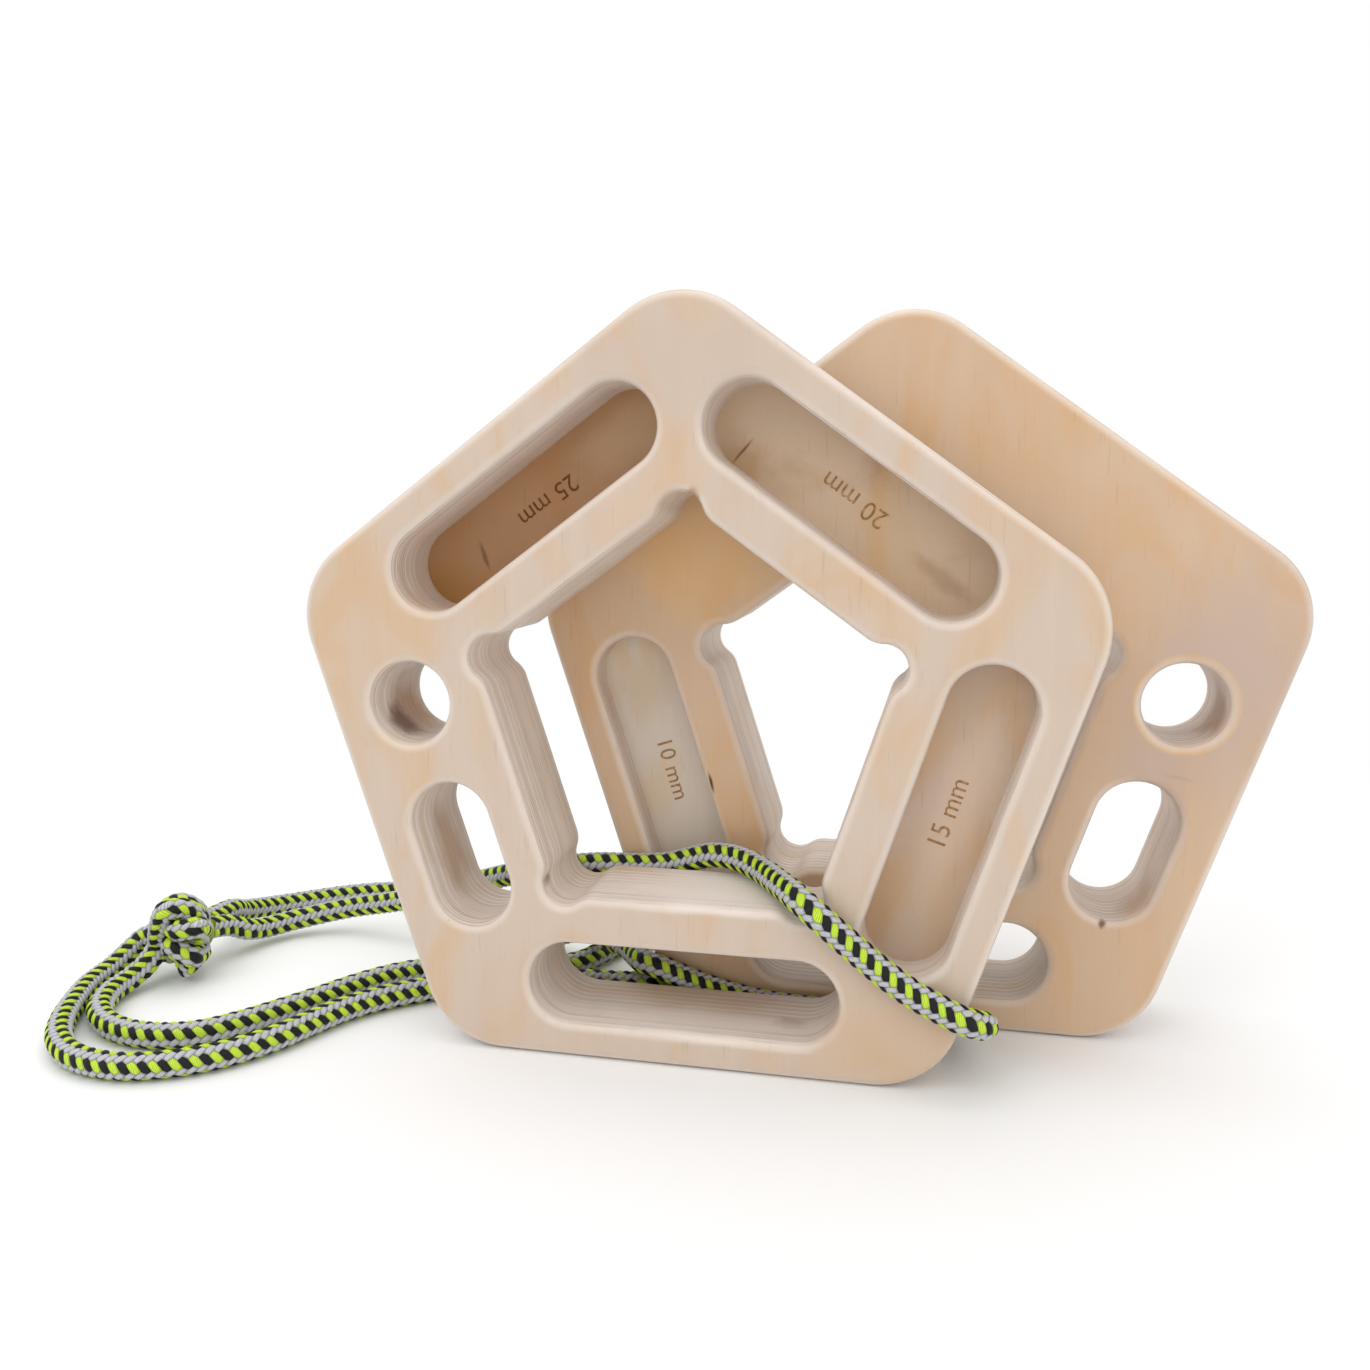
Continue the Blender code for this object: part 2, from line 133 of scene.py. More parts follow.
# Pockets: depth number, side, depth and slot of the floor
FRONT_POCKETS = (
    ("25 mm", SIDE_TOP_LEFT, 0.025, FLOOR_25),
    ("20 mm", SIDE_TOP_RIGHT, 0.020, FLOOR_20),
    ("15 mm", SIDE_RIGHT, 0.015, FLOOR_15),
)
REAR_POCKET = ("10 mm", SIDE_RIGHT, 0.010, FLOOR_10)

# Finish of each slot: name, colour or None for the veneer's own, contrast of the plies, and smears (scale,
# where they start and are full, strength)
WOOD_FINISHES = (
    ("wood", None, 1.0, None),
    ("scorched", None, 1.0, None),
    ("floor_25", (0.41, 0.215, 0.09), 0.3, (45, 0.45, 0.7, 0.6)),
    ("floor_20", (0.58, 0.43, 0.285), 0.3, (40, 0.52, 0.75, 0.45)),
    ("floor_15", (0.55, 0.42, 0.31), 0.3, (35, 0.55, 0.8, 0.25)),
    ("floor_10", (0.65, 0.56, 0.46), 0.3, (35, 0.58, 0.8, 0.2)),
)
SMEAR = (0.36, 0.21, 0.11)
# Painted highlight with some wear: the pale colour mixed onto every rounded rim
RIM_HIGHLIGHT_AND_WEAR = (0.80, 0.72, 0.65)
WARM_TINT = (1.03, 0.91, 0.74)
COOL_TINT = (0.99, 1.0, 1.03)
# How far the plies wander up and down, in metres
PLY_DRIFT = 0.0011

# Marks on the wood by material, stains and spots of the wood and a few patches of painted light as noted:
# centre in a board's own millimetres (across, deep, up), turn in degrees, size, strength and colour
WOOD_MARKS_AND_PAINTED_LIGHT = {
    "front_wood": (
        ((62, -18, -88), 0, (38, 20, 22), 0.6, (0.58, 0.4, 0.25)),
        ((-98, -18, 22), -15, (12, 20, 34), 0.35, (0.6, 0.42, 0.27)),
        ((0, -18, 98), 0, (44, 9, 22), 0.55, (0.54, 0.43, 0.35)),
        ((-12, -18, 60), 36, (24, 12, 9), 0.4, (0.6, 0.42, 0.27)),
        ((4, -16, 64), 0, (3, 5, 3), 0.7, (0.34, 0.16, 0.05)),
        ((-40.4, -13, -47.5), 20, (2, 4, 3), 0.7, (0.24, 0.12, 0.05)),
        ((30, -4, -89), 0, (7, 5, 3), 0.6, (0.3, 0.16, 0.07)),
        ((0, 8, -90), 0, (48, 13, 5), 0.45, (0.56, 0.39, 0.26)),
        # Painted light: pale where light from above falls on the lower hold's upward wall
        ((8, -8, -90), 0, (50, 14, 5), 0.6, (0.84, 0.76, 0.69)),
        # Painted light: nearly white where light from above falls on the opening's lower wall and its front
        # rim
        ((6, -1, -50), 0, (44, 24, 7), 0.85, (0.86, 0.8, 0.75)),
        ((-78, 2, -44), 18, (8, 12, 20), 0.75, (0.46, 0.31, 0.18)),
    ),
    "front_scorched": (
        ((-90, 5, -2), 0, (14, 15, 15), 0.8, (0.42, 0.24, 0.11)),
        ((-89, -4, -4), 0, (8, 8, 9), 0.95, (0.15, 0.065, 0.025)),
    ),
    "front_floor_25": (
        ((-80, 7, 35), 36, (17, 5, 10), 0.6, (0.38, 0.18, 0.03)),
        ((-18, 7, 83), 36, (26, 5, 14), 0.6, (0.54, 0.36, 0.2)),
        ((-66, 7, 46), -70, (6, 5, 1.1), 0.8, (0.15, 0.06, 0.025)),
    ),
    "front_floor_20": (
        ((13, 2, 72), 0, (12, 5, 11), 0.75, (0.44, 0.26, 0.12)),
        ((14, 2, 76.2), 49, (6, 5, 0.6), 1.0, (0.18, 0.08, 0.03)),
        ((70, 2, 41), -36, (14, 5, 4), 0.5, (0.34, 0.2, 0.1)),
    ),
    "front_floor_15": (
        ((79, -3, 17), -18, (14, 5, 26), 0.4, (0.46, 0.33, 0.22)),
        ((76, -3, -24), -18, (9, 5, 34), 0.5, (0.66, 0.49, 0.37)),
        ((58, -3, -48), -18, (8, 5, 22), 0.6, (0.54, 0.32, 0.15)),
    ),
    "rear_wood": (
        # Painted light: a warmer, lighter patch where the front board shades the rear board's face
        ((62, 18, 46), 0, (38, 8, 28), 0.7, (0.76, 0.47, 0.21)),
        ((58.7, 18, -25.7), -15, (0.9, 3, 4.5), 1.0, (0.1, 0.04, 0.015)),
        ((-60.9, 18, -62.8), 0, (1.6, 3, 2.2), 1.0, (0.16, 0.07, 0.03)),
        ((-79, 18, -17), 12, (6.5, 3, 0.9), 0.8, (0.42, 0.26, 0.13)),
        ((-86, 18, 6), 18, (34, 9, 60), 0.8, (0.49, 0.375, 0.31)),
        ((-74, 8, -58), -18, (13, 12, 12), 0.6, (0.5, 0.32, 0.17)),
        ((-30, 18, 72), 30, (34, 8, 12), 0.35, (0.6, 0.38, 0.2)),
    ),
    "rear_scorched": (
        ((-91, 6, 0), 0, (11, 12, 12), 0.8, (0.36, 0.2, 0.09)),
    ),
    "rear_floor_10": (
        ((82, 8, 3), 0, (13, 5, 17), 0.55, (0.6, 0.44, 0.28)),
    ),
}

# The knot: how thick and how far apart its strands are, in millimetres, and how it is drawn tight
KNOT_RADIUS = 3.7
KNOT_GAP = 6.9
KNOT_POINTS = 96
KNOT_SPACING = 1.9
KNOT_NEIGHBOURS = 7
KNOT_STEPS = 420
KNOT_PULL = 0.3
# Its loose form: half the length of the curve's turn, and its scale in gaps. Then in each step, how the
# spacing shrinks, how far bends are eased, and how often spacing and gaps are set right.
KNOT_TURN = 2.35
KNOT_OPEN = 1.35
KNOT_SHRINK = 0.985
KNOT_EASE = 0.1
KNOT_ROUNDS = 3
# The knot's place and turn, the stretch of it that is kept, how far the strands run into it, and how high
# its lowest centre line lies, in radii
KNOT_PLACE = (-212.2, -8, 0)
KNOT_AXIS = (0.84, 0.39, -0.2)
KNOT_VIEW = (-0.217, 0.976, 0)
KNOT_ROLL = math.radians(225)
KNOT_CUT = (-8, 5)
KNOT_SINK = 0.5
KNOT_LIFT = 1.12

# The braid: columns of a coloured and of a grey row, rings to a stitch, and its relief. Bulge and lock are
# shares of the radius, slant is a share of the stitch.
WIDE_COLUMNS = 7
NARROW_COLUMNS = 5
STITCH_RINGS = 4
BULGE = 0.13
SLANT = 0.55
LOCK = 0.11
# Steps from one point of a route to the next, and how many of them make one of a cord's stated path
ROUTE_STEPS = 24
# The spans of knots over which a route's points are blended, level by level
BLEND_SPANS = (((0, 1), (1, 2), (2, 3)), ((0, 2), (1, 3)), ((1, 2),))

# Routes of the cord's centre line in millimetres, the CAD model's points but for the last near the knot. A
# point of two numbers is where the cord lies on the floor, at this height.
CORD_LYING = 4.1
FRONT_LOOP_ROUTE = (
    (-206.8, 8.9, 11.8), (-204, 14.6, 8.6), (-202.3, 23, 6.2), (-194.5, 33.8, 6.4), (-177.3, 41.5, 9.5),
    (-155, 40, 14.5), (-134, 34, 22), (-110.5, 21.9, 32), (-92, 10.5, 39.5), (-78, 3, 44), (-65, 0.1, 46.6),
    (-52, 0, 47.2), (-42, 0.1, 48.2), (-34, -1, 50.8), (-26, -4.2, 53.5), (-17.5, -9.3, 54.3),
    (-9, -18, 53.8), (-3, -28, 53.9), (1.4, -35.8, 54), (5.5, -41.6, 53.2), (10.2, -44.7, 50.5),
    (15, -45, 46.6), (21, -44.9, 41.6), (28, -44.9, 36.1), (35.6, -44.9, 31), (43, -44.9, 27.2),
    (50.2, -44.7, 24), (55, -40, 21.2), (55.4, -32, 17.9), (54, -22.4, 13.8), (51.5, -12.8, 10),
    (47.2, -3.7, 6.4), (39.5, 0, 4.6), (30, 0), (16, 0), (3, 0), (-7, 0, 4.5), (-17.6, 0, 5.8), (-29, 0, 8.3),
    (-38, 0, 11.2), (-45.4, 0, 13.8), (-51.2, 2.8, 14), (-55, 8.8, 13.2), (-59.3, 15.4, 12.8),
    (-66, 21.4, 13), (-73.5, 26, 13.3), (-80.5, 31, 12.9), (-87.5, 36, 8.9), (-95.5, 41, 5.4), (-106, 46.4),
    (-123, 54.4), (-143, 64.5), (-160, 73.5), (-176, 78.5), (-192.4, 71.5), (-206, 60, 4.2),
    (-213.5, 47, 5.8), (-215.5, 31, 9.5), (-213, 20, 13.5),
)
REAR_LOOP_ROUTE = (
    (-227, -10.1, 12.5), (-230.8, -13, 8.6), (-233, -18.6, 5.2), (-233, -26), (-231.5, -33.5), (-227.4, -44),
    (-219.9, -59.2), (-211.5, -70.5), (-201.6, -78), (-191.3, -81.2), (-180.4, -81.1), (-170.8, -77.6),
    (-163, -72.6), (-155.5, -64.8), (-149, -54.4), (-144.6, -43.6), (-139.4, -32), (-132, -21.8),
    (-121.4, -12.2), (-109.5, -4.7), (-97, 0.7), (-83, 3.8), (-70.5, 5.9), (-60, 6.8), (-52.5, 8.6),
    (-47.8, 14.4), (-46.3, 24), (-46.2, 34), (-46.2, 44),
    (-45.8, 48.6), (-42.8, 52.8), (-37.6, 55), (-28.5, 56), (-13, 56.3), (2, 56.9, 4.2), (13.5, 56.8, 6.6),
    (20.6, 54.8, 13), (24, 51.4, 22.6), (25, 48, 33), (25.1, 46.1, 43.5), (25.1, 43.4, 51.5),
    (25.1, 36.6, 54.5), (25.1, 23, 53.8), (25.1, 9.2, 54.5), (25.1, 2.1, 51.9), (25.1, 0, 45.5),
    (26.1, 0, 35), (30.2, 0, 27.2), (36, 0, 24.6), (41.8, 0, 27.2), (45.9, 0, 35), (46.9, 0, 45.5),
    (46.9, 2.1, 51.9), (46.9, 9.2, 54.5), (46.9, 23, 53.8), (46.9, 36.6, 54.5), (47, 43.5, 51.6),
    (47, 47, 42.6), (46.2, 51, 31), (42.6, 56.8, 19), (35, 62.8, 9.6), (24.5, 66.6, 4.9), (11, 68), (-6, 68),
    (-24, 67.2), (-40, 64.2), (-48, 60.4),
    (-55, 56), (-62, 51.4), (-69, 43.5), (-74, 32), (-78, 22.6), (-84.5, 16.4), (-93.5, 13.2), (-104, 11.8),
    (-115.5, 9.2), (-126.6, 4.4), (-136, -2.6), (-144.4, -13.4), (-151.6, -26.4), (-158.6, -38.1),
    (-165.6, -48.7), (-173.6, -57.4), (-183.6, -61.6), (-194.6, -61.7), (-205.2, -57.8), (-212.8, -51.6),
    (-217.3, -45), (-220.6, -36), (-220.7, -28, 4.7), (-218.9, -21.8, 7.3), (-217.3, -17, 11.2),
)


# ---- Settings ----

def length(name, description, default):
    return FloatProperty(name=name, description=description, default=default, min=0.0, unit="LENGTH")


def colour(name, description, default):
    return FloatVectorProperty(name=name, description=description, default=default, size=3,
                               subtype="COLOR", min=0.0, max=1.0)


class HangboardBoardSettings(bpy.types.PropertyGroup):
    apothem: length("Apothem", "From the board's centre to the middle of a side", 0.100)
    thickness: length("Thickness", "Thickness of the plywood", 0.036)
    corner_radius: length("Corner radius", "Radius of the pentagon's corners", 0.025)
    roundover: length("Roundover", "Radius of the rounded rims", 0.003)
    opening_apothem: length("Opening apothem", "From the centre to a side of the central opening", 0.051)
    ear_radius: length("Ear radius", "Radius of the relief in each corner of the opening", 0.0065)
    ear_centre: length("Ear centre", "From the board's centre to the middle of a relief", 0.0585)
    ear_blend: length("Ear blend", "Radius between a relief and the opening's side", 0.008)
    hold_width: length("Hold width", "Width of the long holds", 0.024)
    hold_length: length("Hold length", "Length of the long holds", 0.091)
    hold_centre: length("Hold centre", "From the board's centre to the middle of a long hold", 0.0775)
    finger_centre: length("Finger hole centre", "From the centre to the line of the finger holes", 0.0755)
    mono_shift: length("One-finger shift", "How far up the side the one-finger hole sits", 0.0289)
    two_finger_length: length("Two-finger length", "Length of the two-finger slot", 0.0435)
    two_finger_shift: length("Two-finger shift", "How far down the side the slot sits", 0.0182)
    gap: length("Gap", "Space between the two standing boards", 0.009)
    side_step: length("Side step", "How far the rear board stands to the right", 0.059)
    number_height: length("Number height", "Size of the depth numbers", 0.0076)
    number_depth: length("Number layer", "Thickness of the burnt layer of the numbers", 0.00006)


class HangboardWoodSettings(bpy.types.PropertyGroup):
    pale: colour("Pale birch", "Face veneer of the front board", (0.585, 0.46, 0.355))
    tan: colour("Tan birch", "Face veneer of the rear board", (0.60, 0.42, 0.27))
    end_grain: colour("End grain", "Plies cut across their grain", (0.74, 0.65, 0.57))
    glue: colour("Glue line", "Thin lines between the plies", (0.36, 0.22, 0.12))
    burnt: colour("Burnt wood", "Burnt layer of the depth numbers", (0.345, 0.195, 0.09))
    deep_burnt: colour("Deep burnt wood", "Burnt layer of the deepest pocket's number", (0.17, 0.06, 0.018))
    ply: length("Ply", "Thickness of one ply", 0.00144)


class HangboardCordSettings(bpy.types.PropertyGroup):
    diameter: length("Diameter", "Thickness of the braided cord", 0.008)
    stitch: length("Stitch", "Length of one stitch of the braid", 0.00255)
    pairs: IntProperty(name="Pairs", description="Pairs of a coloured and a grey row", default=4, min=2)
    black: colour("Black yarn", "Dark stitches", (0.006, 0.006, 0.008))
    lime: colour("Lime yarn", "Bright stitches", (0.50, 0.70, 0.05))
    grey: colour("Grey yarn", "Pale rows between the coloured ones", (0.50, 0.50, 0.53))


class HangboardStageSettings(bpy.types.PropertyGroup):
    floor: colour("Floor", "Colour of the floor", (0.90, 0.90, 0.90))
    key: FloatProperty(name="Key", description="Power of the large lamp", default=3.8, min=0.0, unit="POWER")


# ---- Small tools ----

class Signal:
    """A socket's value that can be reckoned with. Each operation adds a node to the socket's tree."""

    def __init__(self, socket):
        self.socket = socket

    def node(self, kind, inputs, which=0, **settings):
        """An output of a new shader node beside this signal."""
        return Signal(add(self.socket.id_data, "ShaderNode" + kind, inputs, **settings).outputs[which])

    def maths(self, operation, *others):
        return self.node("Math", dict(enumerate((self, *others))), operation=operation)

    def vector(self, operation, *others, which=0):
        inputs = dict(enumerate((self, *others)))
        return self.node("VectorMath", inputs, which, operation=operation)

    def scaled(self, factor):
        return self.node("VectorMath", {0: self, "Scale": factor}, operation="SCALE")

    def ramp(self, low, high, to_low=0.0, to_high=1.0):
        """This value eased from one range to another."""
        inputs = {"Value": self, "From Min": low, "From Max": high, "To Min": to_low, "To Max": to_high}
        return self.node("MapRange", inputs, interpolation_type="SMOOTHSTEP")

    def mix(self, first, second, kind="RGBA"):
        """The first value where this one is 0, the second where it is 1."""
        socket, which = {"FLOAT": (2, 0), "VECTOR": (4, 1), "RGBA": (6, 2)}[kind]
        inputs = {0: self, socket: first, socket + 1: second}
        return self.node("Mix", inputs, which, data_type=kind)

    def sine(self):
        """The sine of this value, counted in half turns."""
        return (self * math.pi).maths("SINE")

    def centred(self, strength):
        """A value about 0.5 turned into one about 0 of the given strength."""
        return (self - 0.5) * strength

    __add__ = partialmethod(maths, "ADD")
    __sub__ = partialmethod(maths, "SUBTRACT")
    __mul__ = partialmethod(maths, "MULTIPLY")
    __truediv__ = partialmethod(maths, "DIVIDE")
    __mod__ = partialmethod(maths, "MODULO")
    __pow__ = partialmethod(maths, "POWER")
    __abs__ = partialmethod(maths, "ABSOLUTE")

    def __rsub__(self, other):
        return self.node("Math", {0: other, 1: self}, operation="SUBTRACT")


def put(socket, value):
    """Links a socket to a signal or another socket, or sets its value."""
    if isinstance(value, Signal):
        value = value.socket
    if isinstance(value, bpy.types.NodeSocket):
        socket.id_data.links.new(value, socket)
    else:
        socket.default_value = value


def fill(node, inputs):
    """Puts values into a node's inputs, which are given by name or number."""
    for key, value in inputs.items():
        put(node.inputs[key], value)


def add(tree, kind, inputs=None, **settings):
    """A new node with its settings and its inputs."""
    made = tree.nodes.new(kind)
    for key, value in settings.items():
        setattr(made, key, value)
    fill(made, inputs or {})
    return made


def parts(vector):
    """The X, Y and Z of a vector."""
    made = add(vector.socket.id_data, "ShaderNodeSeparateXYZ", {0: vector})
    return [Signal(socket) for socket in made.outputs]


def noise(vector, scale, detail=3.0, roughness=0.5, distortion=0.0):
    inputs = {"Vector": vector, "Scale": scale, "Detail": detail, "Roughness": roughness,
              "Distortion": distortion}
    return vector.node("TexNoise", inputs, "Fac")


def group_tree(name, kind, inputs, outputs):
    """A node group with its sockets, which are given by name and kind."""
    tree = bpy.data.node_groups.new(name, kind)
    for in_out, sockets in (("INPUT", inputs), ("OUTPUT", outputs)):
        for label, value in sockets.items():
            tree.interface.new_socket(label, in_out=in_out, socket_type="NodeSocket" + value)
    given = {socket.name: Signal(socket) for socket in tree.nodes.new("NodeGroupInput").outputs}
    return tree, given, tree.nodes.new("NodeGroupOutput").inputs


def new_material(name):
    """A material with its shader and the object coordinates of its tree."""
    material = bpy.data.materials.new(name)
    material.use_nodes = True
    tree = material.node_tree
    place = Signal(add(tree, "ShaderNodeTexCoord").outputs["Object"])
    return material, tree.nodes["Principled BSDF"], place


def bump(shader, height, strength, distance):
    """Gives a shader relief from a height."""
    inputs = {"Height": height, "Strength": strength, "Distance": distance}
    put(shader.inputs["Normal"], height.node("Bump", inputs))


def rgba(value):
    return (*value, 1.0)


def unit(angle):
    return np.array((math.cos(angle), math.sin(angle)))


def helper(name, data):
    """A new object in the scene."""
    made = bpy.data.objects.new(name, data)
    bpy.context.scene.collection.objects.link(made)
    return made


def finished(mesh, name, body, *nodes):
    """A mesh in the row frame as a piece that rides on a body and stands for CAD nodes."""
    piece = helper(name, mesh)
    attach(piece, body)
    if nodes:
        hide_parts(*nodes)
    return piece


# ---- Wood ----

def plywood_group():
    """Plies across local Y with grain that turns from ply to ply, thin glue lines and pores."""
    tree, given, result = group_tree("Plywood", "ShaderNodeTree", {
        "Place": "Vector", "Side Grain": "Color", "End Grain": "Color", "Glue": "Color", "Ply": "Float",
        "Half": "Float", "Contrast": "Float", "Drift": "Float",
    }, {"Color": "Color", "Roughness": "Float", "Height": "Float"})
    place, ply, half, contrast = (given[name] for name in ("Place", "Ply", "Half", "Contrast"))

    # The ply at this place, kept inside the outermost plies
    waves = noise(place.vector("MULTIPLY", (1.0, 0.3, 1.0)), 30.0, 2.0)
    thin = ply * 0.2
    depth = parts(place)[1] + half + (waves - 0.5) * given["Drift"]
    depth = depth.maths("MAXIMUM", thin).maths("MINIMUM", half * 2.0 - thin)
    count = depth / ply
    index = count.maths("FLOOR")
    turned = index % 2.0

    # How far the surface is a side of the board, and how far it shows end grain
    normal = Signal(add(tree, "ShaderNodeNewGeometry").outputs["Normal"])
    facing = [abs(part) ** 2.0 for part in parts(normal)]
    end = turned.mix(facing[0], facing[2], "FLOAT")
    side = 1.0 - facing[1]
    plain = contrast.maths("MINIMUM", 1.0)

    # Streaks along the grain, broad figure, dark flecks, and a shade of each ply's own
    along_x, along_z = (9.0, 300.0, 300.0), (300.0, 300.0, 9.0)
    streaks = noise(place.vector("MULTIPLY", turned.mix(along_z, along_x, "VECTOR")), 1.0, 4.0, 0.6, 0.3)
    figure = noise(place.vector("MULTIPLY", (1.0, 1.0, 0.55)), 30.0, 4.0, 0.5, 1.6)
    flecks = noise(place.vector("MULTIPLY", (900.0, 900.0, 70.0)), 1.0, 2.0)
    per_ply = index.node("TexWhiteNoise", {"W": index}, "Value", noise_dimensions="1D")

    # Colour: cut plies are paler, figured wood is warmer, and the rims get a painted highlight with some wear
    wood = ((side * 0.55 + end * 0.4) * plain).mix(given["Side Grain"], given["End Grain"])
    warm, cool = (wood.vector("MULTIPLY", tint) for tint in (WARM_TINT, COOL_TINT))
    wood = (figure.ramp(0.44, 0.72) - side * 0.4).mix(cool, warm)
    # Painted highlight with some wear: the roundovers are lightened most halfway between face and wall
    wood = (side * (1.0 - side) * 1.3 * plain).mix(wood, rgba(RIM_HIGHLIGHT_AND_WEAR))
    shade = streaks.centred(0.10) + per_ply.centred(side * 0.22) + figure.centred(-0.10)
    wood = wood.scaled(shade - flecks.ramp(0.62, 0.78, 0.0, 0.11) + 1.0)

    # Glue lines between the plies, faded here and there
    edge = abs(count.maths("FRACT") - 0.5)
    faded = noise(place, 55.0, 2.0)
    line = edge.ramp(0.35, 0.48) * (contrast * (side * faded.ramp(0.35, 0.75)))
    put(result["Color"], line.mix(wood, given["Glue"]))
    put(result["Roughness"], (streaks + end).ramp(0.2, 1.3, 0.42, 0.62))
    put(result["Height"], streaks * (end + 0.3) - line * 0.7)
    return tree


def mark_group():
    """How strongly a mark shows: an uneven oval about a centre."""
    tree, given, result = group_tree("Colour Patch", "ShaderNodeTree", {
        "Place": "Vector", "Centre": "Vector", "Turn": "Float", "Size": "Vector", "Strength": "Float",
    }, {"Factor": "Float"})
    apart = given["Place"].vector("SUBTRACT", given["Centre"])
    inputs = {"Vector": apart, "Angle": given["Turn"]}
    local = apart.node("VectorRotate", inputs, rotation_type="Y_AXIS")
    sized = local.vector("DIVIDE", given["Size"])
    far = sized.vector("LENGTH", which="Value") + noise(sized, 1.6, 4.0, 0.55).centred(0.9)
    put(result["Factor"], far.ramp(1.0, 0.25) * given["Strength"])
    return tree


def wood_material(name, group, marks, tint, turned, contrast, stain):
    """Plywood of one board, in the board's own place and turn."""
    wood = bpy.context.scene.hangboard_wood
    board = bpy.context.scene.hangboard_board
    material, shader, spot = new_material(name)
    tree = material.node_tree
    local = spot.node("Mapping", {
        "Vector": spot.vector("SUBTRACT", tuple(board_place(turned))),
        "Rotation": (0, 0, math.pi if turned else 0),
    })
    values = {"Place": local, "Side Grain": rgba(tint), "End Grain": rgba(wood.end_grain),
              "Glue": rgba(wood.glue), "Ply": wood.ply, "Half": board.thickness / 2, "Contrast": contrast,
              "Drift": 0.0 if "floor" in name else PLY_DRIFT}
    made = add(tree, "ShaderNodeGroup", values, node_tree=group)
    face, roughness, height = (Signal(made.outputs[key]) for key in ("Color", "Roughness", "Height"))
    if stain:
        scale, low, high, strength = stain
        cloud = noise(local, scale, 5.0, 0.6, 0.6)
        face = (cloud.ramp(low, high) * strength).mix(face, rgba(SMEAR))
    for centre, turn, size, strength, shade in WOOD_MARKS_AND_PAINTED_LIGHT.get(name, ()):
        values = {"Place": local, "Centre": [MM * value for value in centre], "Turn": math.radians(turn),
                  "Size": [MM * value for value in size], "Strength": strength}
        mark = add(tree, "ShaderNodeGroup", values, node_tree=marks)
        face = Signal(mark.outputs["Factor"]).mix(face, rgba(shade))
    fill(shader, {"Base Color": face, "Roughness": roughness, "Coat Weight": 0.05, "Coat Roughness": 0.35})
    bump(shader, height, 0.3, 0.2 * MM)
    return material


def burnt_material(name, shade):
    """The burnt layer of a number."""
    material, shader, spot = new_material(name)
    dark, light = (rgba([factor * part for part in shade]) for factor in (0.8, 1.4))
    cloud = noise(spot, 900.0).ramp(0.35, 0.7).mix(dark, light)
    fill(shader, {"Base Color": cloud, "Roughness": 0.8, "Specular IOR Level": 0.1})
    return material


# ---- Boards ----

def board_place(turned):
    """The middle of a board in the row frame."""
    board = bpy.context.scene.hangboard_board
    sign = 1 if turned else -1
    return Vector((sign * board.side_step / 2, sign * (board.gap + board.thickness) / 2, board.apothem))


def arc(centre, radius, start, turn, steps):
    """Points on an arc, without its last point."""
    return [centre + radius * unit(start + turn * step / steps) for step in range(steps)]


def board_outline(board, inset):
    """A regular pentagon on its flat side, with rounded corners, drawn in by inset."""
    radius = board.corner_radius - inset
    points = []
    for bisector in CORNERS:
        centre = (board.apothem - board.corner_radius) / math.cos(HALF_SECTOR) * unit(bisector)
        points += arc(centre, radius, bisector - HALF_SECTOR, 2 * HALF_SECTOR, CORNER_STEPS)
        points.append(centre + radius * unit(bisector + HALF_SECTOR))
    return points


def opening_outline(board, outset):
    """The central opening, widened by outset: in each corner a blend arc, a relief and a blend arc."""
    points = []
    for bisector in CORNERS:
        ear = board.ear_centre * unit(bisector)
        blends = []
        for sign in (-1, 1):
            wall = bisector + sign * HALF_SECTOR
            rise = board.opening_apothem + board.ear_blend - float(ear @ unit(wall))
            reach = math.sqrt((board.ear_radius + board.ear_blend) ** 2 - rise ** 2)
            centre = ear + rise * unit(wall) - reach * unit(wall - sign * math.pi / 2)
            blends.append((centre, wall + math.pi, math.atan2(*(ear - centre)[::-1])))
        (first, first_wall, first_ear), (last, last_wall, last_ear) = blends
        first_turn = math.remainder(first_ear - first_wall, math.tau)
        last_turn = math.remainder(last_wall - last_ear, math.tau)
        around = (last_ear - first_ear) % math.tau
        blend = board.ear_blend - outset
        points += arc(first, blend, first_wall, first_turn, BLEND_STEPS)
        points += arc(ear, board.ear_radius + outset, first_ear + math.pi, around, EAR_STEPS)
        points += arc(last, blend, last_ear, last_turn, BLEND_STEPS)
        points.append(last + blend * unit(last_wall))
    return points


def slot_outline(board, side, centre_radius, shift, long_way, outset):
    """A round ended slot along the board's side, widened by outset."""
    normal = unit(side)
    along = unit(side + math.pi / 2)
    centre = centre_radius * normal + shift * along
    straight = (long_way - board.hold_width) / 2
    radius = board.hold_width / 2 + outset
    points = []
    for sign, start in ((1, side), (-1, side + math.pi)):
        end = centre + sign * straight * along
        points += arc(end, radius, start, math.pi, SLOT_STEPS)
        if straight > 0:
            points.append(end - sign * radius * normal)
    return points


def polyline(curve, points):
    """A new spline of straight stretches in a curve."""
    spline = curve.splines.new("POLY")
    spline.points.add(len(points) - 1)
    for target, point in zip(spline.points, points):
        target.co = (*point, 1)
    return spline


def baked(source):
    """The evaluated mesh of an object in world space, and the object is removed."""
    bpy.context.view_layer.update()
    graph = bpy.context.evaluated_depsgraph_get()
    mesh = bpy.data.meshes.new_from_object(source.evaluated_get(graph))
    mesh.transform(source.matrix_world)
    bpy.data.objects.remove(source, do_unlink=True)
    return mesh


